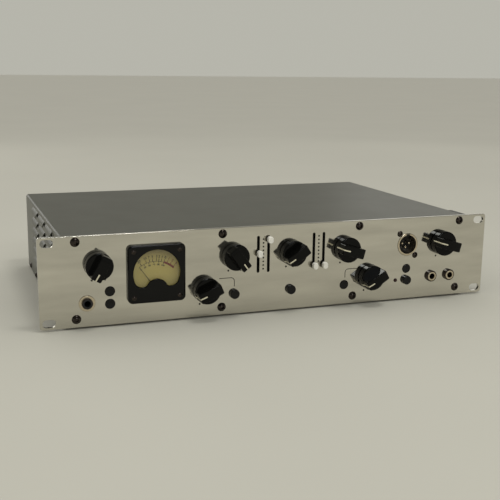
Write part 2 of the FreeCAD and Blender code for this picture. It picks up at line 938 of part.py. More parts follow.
def slider_bodies():
    """A long housing behind each slot, open in front for the lever's travel."""
    bodies = []
    cavity_half = (slider_travel + lever_height) / 2 + lever_end_clearance
    half_gap = lever_width / 2 + lever_clearance
    for _, x, _ in slider_places:
        body = block(x - slider_body_width / 2, x + slider_body_width / 2, wall_back, board_front,
                     slider_middle - slider_body_length / 2, slider_middle + slider_body_length / 2)
        cavity = block(x - half_gap, x + half_gap, wall_back, lever_depth + lever_clearance,
                       slider_middle - cavity_half, slider_middle + cavity_half)
        bodies.append(body.cut(cavity))
    return bodies


def window_shape(y0, y1):
    """The bezel's window: a circle with a flat floor and an arch over the needle's pivot."""
    circle = disc(meter_x, window_z, y0, y1, window_radius)
    above = block(meter_x - window_radius, meter_x + window_radius, y0, y1,
                  window_floor, window_z + window_radius)
    window = circle.common(above).cut(disc(meter_x, needle_pivot_z, y0, y1, arch_radius))
    outer = [e for e in edges_along(window, BACK)
             if abs(e.CenterOfMass.z - window_floor) < pick_margin
             and abs(e.CenterOfMass.x - meter_x) > (arch_radius + window_radius) / 2]
    window = window.makeFillet(window_outer_round, outer)
    inner = [e for e in edges_along(window, BACK)
             if abs(e.CenterOfMass.z - window_floor) < pick_margin
             and abs(e.CenterOfMass.x - meter_x) < arch_radius]
    return window.makeFillet(window_inner_round, inner)


def meter_bezel():
    body = plate(meter_x, meter_z, bezel_side, bezel_side, bezel_corner, -bezel_rise, 0)
    rim = [e for e in body.Edges if e.CenterOfMass.y < -bezel_rise + pick_margin]
    body = body.makeFillet(bezel_round, rim)
    seat = -bezel_rise + bezel_front_wall
    tools = [
        window_shape(-bezel_rise, seat),
        disc(meter_x, meter_z, seat, 0, glass_radius + hole_clearance),
    ]
    body = body.cut(tools)
    reach = window_radius + pick_margin
    lip = [e for e in body.Edges if abs(e.BoundBox.YMin + bezel_rise) < pick_margin
           and abs(e.BoundBox.YMax + bezel_rise) < pick_margin
           and e.BoundBox.XMin > meter_x - reach and e.BoundBox.XMax < meter_x + reach
           and e.BoundBox.ZMin > window_z - reach and e.BoundBox.ZMax < window_z + reach]
    body = body.makeFillet(window_edge_round, lip)
    return body.cut([screw_hole(x, z, -bezel_rise, 0, small_screw_shank) for x, z in meter_screw_points()])


def meter_glass():
    seat = -bezel_rise + bezel_front_wall
    return disc(meter_x, meter_z, seat, seat + glass_thickness, glass_radius)


def meter_case():
    """The can behind the glass, with a ledge for the dial and a boss for the needle's staff."""
    front = -bezel_rise + bezel_front_wall + glass_thickness
    can = disc(meter_x, meter_z, front, meter_case_depth, glass_radius)
    bore = glass_radius - meter_case_wall
    front_room = disc(meter_x, meter_z, front, dial_depth + dial_thickness, bore)
    rear_room = disc(meter_x, meter_z, dial_depth + dial_thickness,
                     meter_case_depth - meter_case_wall, bore - meter_case_wall)
    can = can.cut([front_room, rear_room])
    boss = disc(meter_x, needle_pivot_z, movement_depth, meter_case_depth - meter_case_wall,
                movement_radius)
    boss = boss.common(disc(meter_x, meter_z, front, meter_case_depth, glass_radius - meter_case_wall / 2))
    can = fused([can, boss])
    return can.cut(disc(meter_x, needle_pivot_z, movement_depth, staff_bore_end,
                        staff_radius + shaft_fit))


def meter_dial():
    face = disc(meter_x, meter_z, dial_depth, dial_depth + dial_thickness,
                glass_radius - meter_case_wall - hole_clearance)
    return face.cut(disc(meter_x, needle_pivot_z, dial_depth, dial_depth + dial_thickness,
                         dial_slot_radius))


def meter_needle():
    """A tapered pointer on a hub, with the staff that turns in the movement."""
    half = needle_width / 2
    half_tip = needle_tip_width / 2
    outline = [Vector(0, 0, -half), Vector(needle_length, 0, -half_tip),
               Vector(needle_length, 0, half_tip), Vector(0, 0, half)]
    pointer = prism(outline, BACK * needle_thickness)
    hub = disc(0, 0, 0, needle_hub_thickness, needle_hub_radius)
    staff = disc(0, 0, needle_hub_thickness, staff_end - needle_depth, staff_radius)
    needle = fused([pointer, hub, staff])
    needle.rotate(Vector(0, 0, 0), OUT, needle_rest_angle)
    needle.translate(Vector(meter_x, needle_depth, needle_pivot_z))
    return needle


def power_lamp():
    """A small domed lamp, its flange behind the wall and two leads to the board."""
    dome = disc(lamp_x, lamp_z, -lamp_rise, wall_back, lamp_radius)
    rim = [e for e in dome.Edges if e.Closed and e.CenterOfMass.y < 0]
    dome = dome.makeFillet(lamp_round, rim)
    flange_back = wall_back + lamp_flange_thickness
    pieces = [dome, disc(lamp_x, lamp_z, wall_back, flange_back, lamp_flange_radius)]
    for side in (-1, 1):
        pieces.append(disc(lamp_x + side * lamp_lead_spread, lamp_z, flange_back, board_front,
                           lamp_lead_radius))
    return fused(pieces)


def jack(x, z, barrel, rise):
    """A threaded barrel through the panel, and a square housing behind the wall."""
    half = jack_housing_side / 2
    housing = block(x - half, x + half, wall_back, jack_housing_depth, z - half, z + half)
    body = fused([housing, disc(x, z, -rise, wall_back, barrel)])
    rim = [e for e in body.Edges if e.Closed and e.CenterOfMass.y < -rise + pick_margin]
    body = body.makeFillet(jack_barrel_round, rim)
    return body.cut(disc(x, z, -rise, jack_bore_depth, jack_bore))


def input_jack_washer():
    x, z = input_jack_place
    return rounded_ring(x, z, -input_washer_thickness, 0, input_washer_radius,
                        input_barrel_radius + hole_clearance, washer_round)


def jack_nuts():
    x, z = input_jack_place
    nuts = [rounded_ring(x, z, -input_barrel_rise + input_nut_setback, -input_washer_thickness,
                         input_nut_radius, input_barrel_radius + hole_clearance, nut_round)]
    for x, z in output_jack_places:
        nuts.append(rounded_ring(x, z, -output_nut_rise, 0, output_nut_radius,
                                 output_barrel_radius + hole_clearance, nut_round))
    return nuts


def line_output_shell():
    """The metal shell of the three-pin socket, with its flange behind the wall."""
    flange = block(line_x - line_flange_width / 2, line_x + line_flange_width / 2,
                   wall_back, wall_back + line_flange_thickness,
                   line_z - line_flange_height / 2, line_z + line_flange_height / 2)
    shell = fused([flange, disc(line_x, line_z, -line_shell_rise, line_shell_depth, line_shell_radius)])
    rim = [e for e in shell.Edges if e.Closed and e.CenterOfMass.y < -line_shell_rise + pick_margin]
    shell = shell.makeFillet(line_shell_round, rim)
    tools = [
        disc(line_x, line_z, -line_shell_rise, line_mouth_depth, line_shell_bore),
        disc(line_x, line_z, line_mouth_depth, line_shell_depth, line_seat_bore),
    ]
    for x, z in line_screw_points():
        tools.append(screw_hole(x, z, wall_back, wall_back + line_flange_thickness, small_screw_shank))
    return shell.cut(tools)


def line_pin_points():
    return [
        (line_x - pin_spread, line_z + pin_upper),
        (line_x + pin_spread, line_z + pin_upper),
        (line_x, line_z + pin_lower),
    ]


def line_output_insert():
    """The insulator that carries the pins, and the key in front of it along the top of its seat."""
    radius = line_seat_bore - hole_clearance
    body = disc(line_x, line_z, line_insert_depth, line_shell_depth, radius)
    key = block(line_x - line_key_width / 2, line_x + line_key_width / 2,
                line_key_front, line_insert_depth,
                line_z + line_seat_bore - line_key_height, line_z + line_seat_bore)
    key = key.common(disc(line_x, line_z, line_key_front, line_shell_depth, radius))
    holes = [disc(x, z, line_insert_depth, line_shell_depth, pin_radius + hole_clearance)
             for x, z in line_pin_points()]
    return [body.cut(holes), key]


def line_output_pins():
    pins = []
    for x, z in line_pin_points():
        pin = disc(x, z, pin_recess, line_shell_depth + pin_tail, pin_radius)
        tip = [e for e in pin.Edges if e.Closed and e.CenterOfMass.y < pin_recess + pick_margin]
        pins.append(pin.makeFillet(pin_round, tip))
    return pins


def preamp_board():
    """The upright board on the backs of the controls, cut away round the meter and the sockets."""
    board = block(board_left, board_right, board_front, board_back, board_bottom, board_top)
    line_half_width = line_flange_width / 2 + board_margin
    line_half_height = line_flange_height / 2 + board_margin
    tools = [
        disc(meter_x, meter_z, board_front, board_back, glass_radius + board_margin),
        block(line_x - line_half_width, line_x + line_half_width, board_front, board_back,
              line_z - line_half_height, line_z + line_half_height),
    ]
    for x, z in meter_screw_points():
        tools.append(disc(x, z, board_front, board_back, small_screw_head))
    return board.cut(tools)


def power_board():
    half = power_board_width / 2
    return block(-half, half, power_board_front, power_board_front + power_board_length,
                 power_board_height, power_board_height + board_thickness)


def capacitors():
    """Reservoir capacitors in two rows on the power board."""
    base = power_board_height + board_thickness
    middle = power_board_front + power_board_length / 2
    cans = []
    for x in (-capacitor_pitch / 2, capacitor_pitch / 2):
        for y in (middle - capacitor_pitch / 2, middle + capacitor_pitch / 2):
            can = post(x, y, base, base + capacitor_height, capacitor_radius)
            rim = [e for e in can.Edges if e.Closed and e.CenterOfMass.z > base + capacitor_height / 2]
            cans.append(can.makeFillet(capacitor_round, rim))
    return cans


def transformer():
    top = tray_sheet + transformer_height
    body = post(transformer_x, transformer_y, tray_sheet, top, transformer_radius)
    body = body.cut(post(transformer_x, transformer_y, tray_sheet, top, transformer_bore))
    rims = [e for e in body.Edges if e.Closed and e.Curve.TypeId == "Part::GeomCircle"
            and e.Curve.Radius > transformer_bore + pick_margin]
    return body.makeFillet(transformer_round, rims)


def transformer_clamp():
    """A washer across the transformer's middle, and the bolt that pulls it to the floor."""
    seat = tray_sheet + transformer_height
    washer = post(transformer_x, transformer_y, seat, seat + clamp_thickness, clamp_radius)
    washer = washer.cut(post(transformer_x, transformer_y, seat, seat + clamp_thickness,
                             clamp_bolt_radius + hole_clearance))
    head = hexagon(clamp_nut_radius, clamp_nut_height)
    head.translate(Vector(transformer_x, transformer_y, seat + clamp_thickness))
    bolt = fused([head, post(transformer_x, transformer_y, tray_sheet, seat + clamp_thickness,
                             clamp_bolt_radius)])
    return [washer, bolt]


heatsink_rear = rear_inside - fan_depth - heatsink_fan_gap
heatsink_front = heatsink_rear - heatsink_length


def heatsink():
    """A finned block on the floor, in line with the fan."""
    left = fan_x - heatsink_width / 2
    pieces = [block(left, left + heatsink_width, heatsink_front, heatsink_rear,
                    tray_sheet, tray_sheet + heatsink_base)]
    pitch = (heatsink_width - heatsink_fin) / (heatsink_fins - 1)
    for step in range(heatsink_fins):
        x = left + step * pitch
        pieces.append(block(x, x + heatsink_fin, heatsink_front + heatsink_fin_setback, heatsink_rear,
                            tray_sheet, tray_sheet + heatsink_height))
    return fused(pieces)


def transistors():
    pitch = heatsink_width / transistor_count
    base = tray_sheet + heatsink_base
    devices = []
    for step in range(transistor_count):
        x = fan_x - heatsink_width / 2 + (step + 0.5) * pitch
        start = heatsink_front + transistor_setback
        devices.append(block(x - transistor_width / 2, x + transistor_width / 2, start,
                             start + transistor_length, base, base + transistor_height))
    return devices


def fan_frame():
    """A square frame with a round duct, four struts and the stator's post."""
    front = rear_inside - fan_depth
    frame = plate(fan_x, rear_row, fan_side, fan_side, fan_corner, front, rear_inside)
    frame = frame.cut(disc(fan_x, rear_row, front, rear_inside, fan_bore))
    half = fan_strut / 2
    reach = fan_bore + fan_strut_overlap
    struts = [
        block(fan_x - reach, fan_x + reach, front, front + fan_strut_thickness,
              rear_row - half, rear_row + half),
        block(fan_x - half, fan_x + half, front, front + fan_strut_thickness,
              rear_row - reach, rear_row + reach),
    ]
    stator = disc(fan_x, rear_row, front, rear_inside - fan_stator_gap, fan_stator_radius)
    base = disc(fan_x, rear_row, front, front + fan_strut_thickness, fan_hub_radius)
    frame = fused([frame, stator, base] + struts)
    tools = [disc(fan_x, rear_row, front, rear_inside, fan_spindle_radius + shaft_fit)]
    for x, z in fan_screw_points():
        tools.append(screw_hole(x, z, front, rear_inside, small_screw_shank))
    return frame.cut(tools)


def fan_rotor():
    """A cup over the stator, with pitched blades and a spindle."""
    front = rear_inside - fan_depth + fan_strut_thickness + fan_end_gap
    back = rear_inside - fan_end_gap
    cup = disc(0, 0, front, back, fan_hub_radius)
    cup = cup.cut(disc(0, 0, front, back - fan_end_gap, fan_stator_radius + fan_end_gap / 2))
    spindle = disc(0, 0, rear_inside - fan_depth, back, fan_spindle_radius)
    middle = (front + back) / 2
    root = fan_stator_radius + fan_end_gap
    pieces = [cup, spindle]
    for step in range(fan_blades):
        blade = block(root, fan_blade_radius + overlap, -fan_blade_thickness / 2,
                      fan_blade_thickness / 2, -fan_blade_chord / 2, fan_blade_chord / 2)
        blade.rotate(Vector(0, 0, 0), Vector(1, 0, 0), 90 - fan_blade_pitch)
        blade.translate(Vector(0, middle, 0))
        blade = blade.common(ring(0, 0, front, back, fan_blade_radius, root))
        blade.rotate(Vector(0, 0, 0), BACK, step * 360 / fan_blades)
        pieces.append(blade)
    rotor = fused(pieces)
    rotor.translate(Vector(fan_x, 0, rear_row))
    return rotor


inlet_face = chassis_depth + inlet_flange_thickness
plug_x = inlet_x + inlet_plug_offset
rocker_x = inlet_x + rocker_offset
rocker_pivot_y = inlet_face - rocker_pivot_depth


def mains_inlet():
    """A moulding with a recess for the mains plug and an opening for the rocker, and its blades."""
    flange = plate(inlet_x, rear_row, inlet_flange_width, inlet_flange_height, inlet_flange_corner,
                   chassis_depth, inlet_face)
    body = block(inlet_x - inlet_body_width / 2, inlet_x + inlet_body_width / 2,
                 inlet_face - inlet_body_depth, chassis_depth,
                 rear_row - inlet_body_height / 2, rear_row + inlet_body_height / 2)
    floor = inlet_face - inlet_plug_depth
    recess = plate(plug_x, rear_row, inlet_plug_width, inlet_plug_height, inlet_plug_corner,
                   floor, inlet_face)
    half_width = rocker_width / 2 + rocker_clearance
    half_height = rocker_height / 2 + rocker_end_clearance
    opening = block(rocker_x - half_width, rocker_x + half_width, floor, inlet_face,
                    rear_row - half_height, rear_row + half_height)
    reach = half_width + rocker_pin_length
    pivot = Part.makeCylinder(rocker_pin_radius + shaft_fit, 2 * reach,
                              Vector(rocker_x - reach, rocker_pivot_y, rear_row), Vector(1, 0, 0))
    tools = [recess, opening, pivot]
    for x, z in inlet_screw_points():
        tools.append(screw_hole(x, z, chassis_depth, inlet_face, small_screw_shank))
    pieces = [fused([flange, body]).cut(tools)]
    for x, z in ((plug_x - blade_spread, rear_row - blade_drop),
                 (plug_x + blade_spread, rear_row - blade_drop),
                 (plug_x, rear_row + blade_drop)):
        pieces.append(block(x - blade_thickness / 2, x + blade_thickness / 2, floor,
                            inlet_face - blade_recess, z - blade_height / 2, z + blade_height / 2))
    return pieces


def power_rocker():
    """A shallow vee on two pivot pins, at rest with its upper half pressed in."""
    half = rocker_height / 2
    crest = rocker_pivot_depth + rocker_rise
    foot = crest - rocker_thickness - rocker_rise
    half_foot = rocker_foot_height / 2
    outline = [Vector(0, crest, -half), Vector(0, crest - rocker_dip, 0), Vector(0, crest, half),
               Vector(0, foot, half_foot), Vector(0, foot, -half_foot)]
    body = prism(outline, Vector(rocker_width, 0, 0))
    body.translate(Vector(-rocker_width / 2, 0, 0))
    reach = rocker_width / 2 + rocker_clearance + rocker_pin_length - rocker_pin_gap
    pin = Part.makeCylinder(rocker_pin_radius, 2 * reach, Vector(-reach, 0, 0), Vector(1, 0, 0))
    rocker = fused([body, pin])
    rocker.rotate(Vector(0, 0, 0), Vector(1, 0, 0), rocker_tilt)
    rocker.translate(Vector(rocker_x, rocker_pivot_y, rear_row))
    return rocker


def speaker_sockets():
    """Round twist-lock sockets with a contact post in the well."""
    bodies = []
    face = chassis_depth + speaker_flange_thickness
    for x in speaker_places:
        flange = plate(x, rear_row, line_flange_width, line_flange_height, speaker_flange_corner,
                       chassis_depth, face)
        tube = disc(x, rear_row, face - speaker_body_depth, face, speaker_body_radius)
        floor = face - speaker_well_depth
        well = ring(x, rear_row, floor, face, speaker_well_radius, speaker_post_radius)
        over_post = disc(x, rear_row, face - speaker_post_recess, face, speaker_post_radius + overlap)
        tools = [well, over_post]
        for screw_x, screw_z in speaker_screw_points():
            tools.append(screw_hole(screw_x, screw_z, chassis_depth, face, small_screw_shank))
        bodies.append(fused([flange, tube]).cut(tools))
    return bodies


nodes = {
    "front_panel": [front_panel()],
    "chassis_tray": [chassis_tray()],
    "top_cover": [top_cover()],
    "rear_panel": [rear_panel()],
    "ear_bracket": [ear_bracket()],
    "feet": feet(),
    "panel_screws": panel_screws(),
    "cover_screws": cover_screws(),
    "small_screws": small_screws(),
    "potentiometers": potentiometers(),
    "potentiometer_nuts": potentiometer_nuts(),
    "button_switches": button_switches(),
    "slider_bodies": slider_bodies(),
    "meter_bezel": [meter_bezel()],
    "meter_glass": [meter_glass()],
    "meter_case": [meter_case()],
    "meter_dial": [meter_dial()],
    "meter_needle": [meter_needle()],
    "power_lamp": [power_lamp()],
    "input_jack": [jack(*input_jack_place, input_barrel_radius, input_barrel_rise)],
    "input_jack_washer": [input_jack_washer()],
    "output_jacks": [jack(x, z, output_barrel_radius, output_barrel_rise) for x, z in output_jack_places],
    "jack_nuts": jack_nuts(),
    "line_output_shell": [line_output_shell()],
    "line_output_insert": line_output_insert(),
    "line_output_pins": line_output_pins(),
    "preamp_board": [preamp_board()],
    "power_board": [power_board()],
    "capacitors": capacitors(),
    "transformer": [transformer()],
    "transformer_clamp": transformer_clamp(),
    "heatsink": [heatsink()],
    "transistors": transistors(),
    "fan_frame": [fan_frame()],
    "fan_rotor": [fan_rotor()],
    "mains_inlet": mains_inlet(),
    "power_rocker": [power_rocker()],
    "speaker_sockets": speaker_sockets(),
}
for name, x, z, angle in knob_places:
    nodes[name] = knob(x, z, angle)
for name, x, z, latched in button_places:
    nodes[name] = [push_button(x, z, latched)]
for name, x, z in slider_places:
    nodes[name + "_cap"] = [slider_cap(x, z)]
    nodes[name + "_lever"] = [slider_lever(x, z)]

whole = Part.makeCompound([solid for solids in nodes.values() for solid in solids]).BoundBox
to_origin = Vector(0, -(whole.YMin + whole.YMax) / 2, foot_height)

os.makedirs("parts", exist_ok=True)
for name, solids in nodes.items():
    for solid in solids:
        solid.translate(to_origin)
    shape = solids[0] if len(solids) == 1 else Part.makeCompound(solids)
    shape.exportStep(f"parts/{name}.step")
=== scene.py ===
import json
import logging
import math
from abc import ABC, abstractmethod
from dataclasses import dataclass
from enum import Enum

import bmesh
import bpy
from mathutils import Matrix, Vector


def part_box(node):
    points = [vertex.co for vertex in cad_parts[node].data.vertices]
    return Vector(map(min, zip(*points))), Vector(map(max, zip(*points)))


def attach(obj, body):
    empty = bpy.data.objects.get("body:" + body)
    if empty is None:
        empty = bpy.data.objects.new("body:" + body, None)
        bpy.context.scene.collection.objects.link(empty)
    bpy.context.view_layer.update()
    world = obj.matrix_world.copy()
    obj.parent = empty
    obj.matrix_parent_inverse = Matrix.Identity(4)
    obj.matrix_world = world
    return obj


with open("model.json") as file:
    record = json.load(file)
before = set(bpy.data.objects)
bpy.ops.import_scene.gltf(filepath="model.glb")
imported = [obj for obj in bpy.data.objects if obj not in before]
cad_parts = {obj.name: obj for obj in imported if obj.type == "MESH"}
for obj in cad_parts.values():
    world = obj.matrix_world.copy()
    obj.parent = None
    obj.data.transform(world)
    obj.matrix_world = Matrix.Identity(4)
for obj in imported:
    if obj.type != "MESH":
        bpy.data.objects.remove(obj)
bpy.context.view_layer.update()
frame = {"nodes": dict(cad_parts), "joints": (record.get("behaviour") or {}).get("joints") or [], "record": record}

# A rack-width bass amplifier head with a polished front panel, on a pale floor.
# Sizes are millimetres in the classes' fields, and metres once they reach a mesh.
# The floor's and the lamps' own sizes are metres throughout.

LOG = logging.getLogger("amplifier_head")
MM = 0.001
QUARTER_TURN = math.pi / 2
CASING = "casing"

# A colour's red, green and blue, the two ends of a run of values, and a point of a flat drawing.
Colour = tuple[float, float, float]
Span = tuple[float, float]
Spot = tuple[float, float]

# Where nearly all of a noise pattern's values lie.
NOISE_SPAN: Span = (0.3, 0.7)


class Grain(Enum):
    """The way in which a surface's fine marks run, as stretches of its pattern along x, y and z."""

    EVEN = (1.0, 1.0, 1.0)
    LEVEL = (0.012, 0.012, 1.0)
    STREAKED = (0.16, 0.16, 1.0)
    UPRIGHT = (1.0, 1.0, 0.02)


class Print(Enum):
    """The inks that the scales are printed in."""

    BLACK = "black_ink"
    RED = "red_ink"
    CREAM = "cream_ink"


def toned(colour: Colour, shares: Span) -> tuple[Colour, Colour]:
    """A colour at two shares of its brightness."""
    return tuple(tuple(min(1.0, channel * share) for channel in colour) for share in shares)


def outward(angle: float) -> Vector:
    """The direction at an angle from the right, anticlockwise as seen from the front."""
    return Vector((math.cos(angle), 0.0, math.sin(angle)))


def stretches(start: float, end: float, steps: int) -> list[float]:
    """Values at even steps from a start to an end."""
    return [start + (end - start) * i / steps for i in range(steps + 1)]


@dataclass(frozen=True)
class Marks:
    """A noise pattern: its marks in a metre across the grain, the way they run and the finer layers."""

    scale: float
    grain: Grain = Grain.EVEN
    detail: float = 3.0


class NodeWork:
    """Lays out nodes in a tree."""

    def __init__(self, tree: bpy.types.NodeTree) -> None:
        """Takes the tree to work in."""
        self.tree = tree

    def node(self, kind: str, inputs: dict[str | int, object], **settings: object) -> bpy.types.Node:
        """Adds a node, and links or sets its inputs.

        Args:
            kind: The node's type.
            inputs: Each input's name or number, with an output to link or a value to set.
            settings: The node's own settings.

        Returns:
            The node.
        """
        made = self.tree.nodes.new(kind)
        for name, value in settings.items():
            setattr(made, name, value)
        for name, value in inputs.items():
            if isinstance(value, bpy.types.NodeSocket):
                self.tree.links.new(value, made.inputs[name])
            else:
                made.inputs[name].default_value = value
        return made

    def ramp(self, value: bpy.types.NodeSocket, colours: tuple[Colour, Colour],
             between: Span) -> bpy.types.NodeSocket:
        """Runs from one colour to another as a value rises.

        Args:
            value: The value's output.
            colours: The colours at the run's start and at its end.
            between: The values where the run starts and ends.

        Returns:
            The colour's output.
        """
        made = self.node("ShaderNodeValToRGB", {"Fac": value})
        for stop, place, colour in zip(made.color_ramp.elements, between, colours):
            stop.position = place
            stop.color = (*colour, 1.0)
        return made.outputs["Color"]


class Shader(NodeWork):
    """Lays out the nodes of one material round its Principled shader."""

    def __init__(self, name: str) -> None:
        """Starts the material.

        Args:
            name: The material's name.
        """
        self.material = bpy.data.materials.new(name)
        self.material.use_nodes = True
        super().__init__(self.material.node_tree)
        self.surface = self.tree.nodes["Principled BSDF"]
        self.places = self.node("ShaderNodeTexCoord", {}).outputs["Object"]

    def set(self, values: dict[str, float]) -> None:
        """Sets constant values on the shader's own sockets, by the sockets' names."""
        for name, value in values.items():
            self.surface.inputs[name].default_value = value

    def colour(self, value: Colour) -> None:
        """Sets one colour all over."""
        self.surface.inputs["Base Color"].default_value = (*value, 1.0)

    def link(self, pattern: bpy.types.NodeSocket, name: str) -> None:
        """Links a pattern to one of the shader's sockets."""
        self.tree.links.new(pattern, self.surface.inputs[name])

    def noise(self, marks: Marks) -> bpy.types.NodeSocket:
        """A noise pattern that keeps its place on the piece.

        Args:
            marks: The pattern's scale, grain and detail.

        Returns:
            The pattern's output, from 0 to 1.
        """
        grained = self.node("ShaderNodeMapping", {"Vector": self.places, "Scale": marks.grain.value})
        pattern = self.node("ShaderNodeTexNoise", {
            "Vector": grained.outputs["Vector"], "Scale": marks.scale, "Detail": marks.detail})
        return pattern.outputs["Fac"]

    def height(self) -> bpy.types.NodeSocket:
        """Each point's height in the frame, in metres."""
        return self.node("ShaderNodeSeparateXYZ", {"Vector": self.places}).outputs["Z"]

    def spread(self, pattern: bpy.types.NodeSocket, results: Span,
               between: Span = NOISE_SPAN) -> bpy.types.NodeSocket:
        """Spreads a pattern between two values.

        Args:
            pattern: The pattern's output.
            results: The values at the spread's start and at its end.
            between: The pattern's values where the spread starts and ends.

        Returns:
            The spread output.
        """
        return self.node("ShaderNodeMapRange", {
            "Value": pattern, "From Min": between[0], "From Max": between[1],
            "To Min": results[0], "To Max": results[1]}).outputs["Result"]

    def shade(self, pattern: bpy.types.NodeSocket, colours: tuple[Colour, Colour],
              between: Span = NOISE_SPAN) -> None:
        """Colours the surface between two tones by a pattern."""
        self.link(self.ramp(pattern, colours, between), "Base Color")

    def roughen(self, pattern: bpy.types.NodeSocket, roughness: float, changes: Span) -> None:
        """Varies the roughness by a pattern.

        Args:
            pattern: The pattern's output.
            roughness: The finish's own roughness.
            changes: What is added to it where the pattern is low, and where it is high.
        """
        low, high = changes
        self.link(self.spread(pattern, (roughness + low, roughness + high)), "Roughness")

    def bump(self, pattern: bpy.types.NodeSocket, depth: float) -> None:
        """Raises the surface by a pattern.

        Args:
            pattern: The height's output, from 0 to 1.
            depth: The height in millimetres where the pattern is 1.
        """
        relief = self.node("ShaderNodeBump", {"Height": pattern, "Distance": depth * MM, "Strength": 1.0})
        self.link(relief.outputs["Normal"], "Normal")


@dataclass(frozen=True)
class Finish(ABC):
    """A surface finish, which makes its material once."""

    name: str
    colour: Colour

    def material(self) -> bpy.types.Material:
        """The finish's material, made at its first use."""
        made = bpy.data.materials.get(self.name)
        return made if made is not None else self.dress(Shader(self.name))

    @abstractmethod
    def dress(self, shader: Shader) -> bpy.types.Material:
        """Lays out the material's nodes.

        Args:
            shader: The new material's shader.

        Returns:
            The finished material.
        """


@dataclass(frozen=True)
class WornFinish(Finish):
    """A finish whose tone, roughness and height each follow marks of their own.

    Where it has no marks for the height, that follows the marks of the tone.
    """

    roughness: float = 0.5
    shine: float = 0.5
    metallic: float = 0.0
    toning: Marks = Marks(100.0)
    tones: Span = (1.0, 1.0)
    wear: Marks = Marks(100.0)
    wear_changes: Span = (0.0, 0.0)
    relief: Marks | None = None
    relief_depth: float = 0.0

    def dress(self, shader: Shader) -> bpy.types.Material:
        """Lays the marks over the colour, the roughness and the surface.

        Args:
            shader: The new material's shader.

        Returns:
            The finished material.
        """
        toning = shader.noise(self.toning)
        shader.shade(toning, toned(self.colour, self.tones))
        shader.roughen(shader.noise(self.wear), self.roughness, self.wear_changes)
        shader.set({"Metallic": self.metallic, "Specular IOR Level": self.shine})
        if self.relief_depth > 0.0:
            shader.bump(toning if self.relief is None else shader.noise(self.relief), self.relief_depth)
        return shader.material


@dataclass(frozen=True)
class SatinPaint(WornFinish):
    """Sprayed or powder paint with a fine orange peel and the faintest clouds."""

    roughness: float = 0.42
    toning: Marks = Marks(9.0)
    tones: Span = (0.985, 1.015)
    wear: Marks = Marks(30.0)
    wear_changes: Span = (-0.01, 0.01)
    relief: Marks | None = Marks(900.0, detail=1.0)
    relief_depth: float = 0.02


@dataclass(frozen=True)
class PolishedSteel(WornFinish):
    """Stainless sheet that mirrors, with level grain, a hair's breadth of waviness and streaks in its tone that
    are partly polishing marks and partly painted reflection.
    """

    roughness: float = 0.055
    metallic: float = 1.0
    # Partly painted reflection: the level streaks in the tone stand for reflections of an uneven floor as well as
    # for polishing marks.
    toning: Marks = Marks(75.0, Grain.STREAKED, 4.0)
    tones: Span = (0.88, 1.07)
    wear: Marks = Marks(1800.0, Grain.LEVEL, 2.0)
    wear_changes: Span = (0.0, 0.05)
    relief: Marks | None = Marks(7.0, detail=0.0)
    relief_depth: float = 0.03


@dataclass(frozen=True)
class PlatedMetal(WornFinish):
    """Bright plated, turned or rolled metal with tooling marks and an uneven shine."""

    roughness: float = 0.16
    metallic: float = 1.0
    toning: Marks = Marks(420.0)
    tones: Span = (0.88, 1.08)
    wear: Marks = Marks(240.0)
    wear_changes: Span = (-0.03, 0.08)
    relief_depth: float = 0.006


@dataclass(frozen=True)
class GlossPlastic(WornFinish):
    """Pressed plastic with a shine, light finger marks and mould ripple."""

    roughness: float = 0.14
    shine: float = 0.36
    toning: Marks = Marks(90.0)
    tones: Span = (0.9, 1.1)
    wear: Marks = Marks(130.0)
    wear_changes: Span = (-0.03, 0.07)
    relief: Marks | None = Marks(160.0, detail=1.0)
    relief_depth: float = 0.004


@dataclass(frozen=True)
class MouldedPlastic(WornFinish):
    """Moulded plastic or rubber with a fine matt texture and a slightly worn shine."""

    shine: float = 0.3
    toning: Marks = Marks(110.0)
    tones: Span = (0.88, 1.12)
    wear: Marks = Marks(70.0)
    wear_changes: Span = (-0.06, 0.08)
    relief: Marks | None = Marks(2600.0, detail=1.0)
    relief_depth: float = 0.02


@dataclass(frozen=True)
class Ink(WornFinish):
    """Screen ink with slightly uneven cover."""

    roughness: float = 0.45
    toning: Marks = Marks(1500.0)
    tones: Span = (0.85, 1.12)
    wear: Marks = Marks(600.0)
    wear_changes: Span = (-0.05, 0.08)


@dataclass(frozen=True)
class ClearWindow(Finish):
    """Clear acrylic, thin enough to pass nearly all light and to mirror a little."""

    roughness: float = 0.02
    cover: float = 0.1
    index: float = 4.0
    ripple: Marks = Marks(40.0, detail=0.0)
    ripple_depth: float = 0.004

    def dress(self, shader: Shader) -> bpy.types.Material:
        """Gives the window its slight cover, its mirror and a faint surface ripple.

        Args:
            shader: The new material's shader.

        Returns:
            The finished material.
        """
        shader.colour(self.colour)
        shader.set({"Roughness": self.roughness, "Alpha": self.cover, "IOR": self.index})
        shader.bump(shader.noise(self.ripple), self.ripple_depth)
        return shader.material


@dataclass(frozen=True)
class PrintedCard(Finish):
    """A painted card, yellowed by age, whose darker, browner top is painted shade of the bezel."""

    roughness: float = 0.56
    wear: Marks = Marks(220.0)
    wear_changes: Span = (0.0, 0.10)
    tooth: Marks = Marks(3000.0, detail=1.0)
    tooth_depth: float = 0.01
    # Painted shade: the colour that the card darkens to at its top, and the heights in millimetres where it starts
    # and where it is complete.
    aged: Colour = (0.30, 0.24, 0.075)
    aged_from: float = 59.0
    aged_to: float = 75.0

    def dress(self, shader: Shader) -> bpy.types.Material:
        """Gives the card its painted bezel shade at the top, its uneven sheen and its paper tooth.

        Args:
            shader: The new material's shader.

        Returns:
            The finished material.
        """
        # Painted shade: the card runs to the shade colour upwards, where the bezel would shade it.
        painted_bezel_shade = shader.spread(shader.height(), (0.0, 1.0), (self.aged_from * MM, self.aged_to * MM))
        shader.shade(painted_bezel_shade, (self.colour, self.aged), (0.0, 1.0))
        shader.roughen(shader.noise(self.wear), self.roughness, self.wear_changes)
        shader.bump(shader.noise(self.tooth), self.tooth_depth)
        return shader.material


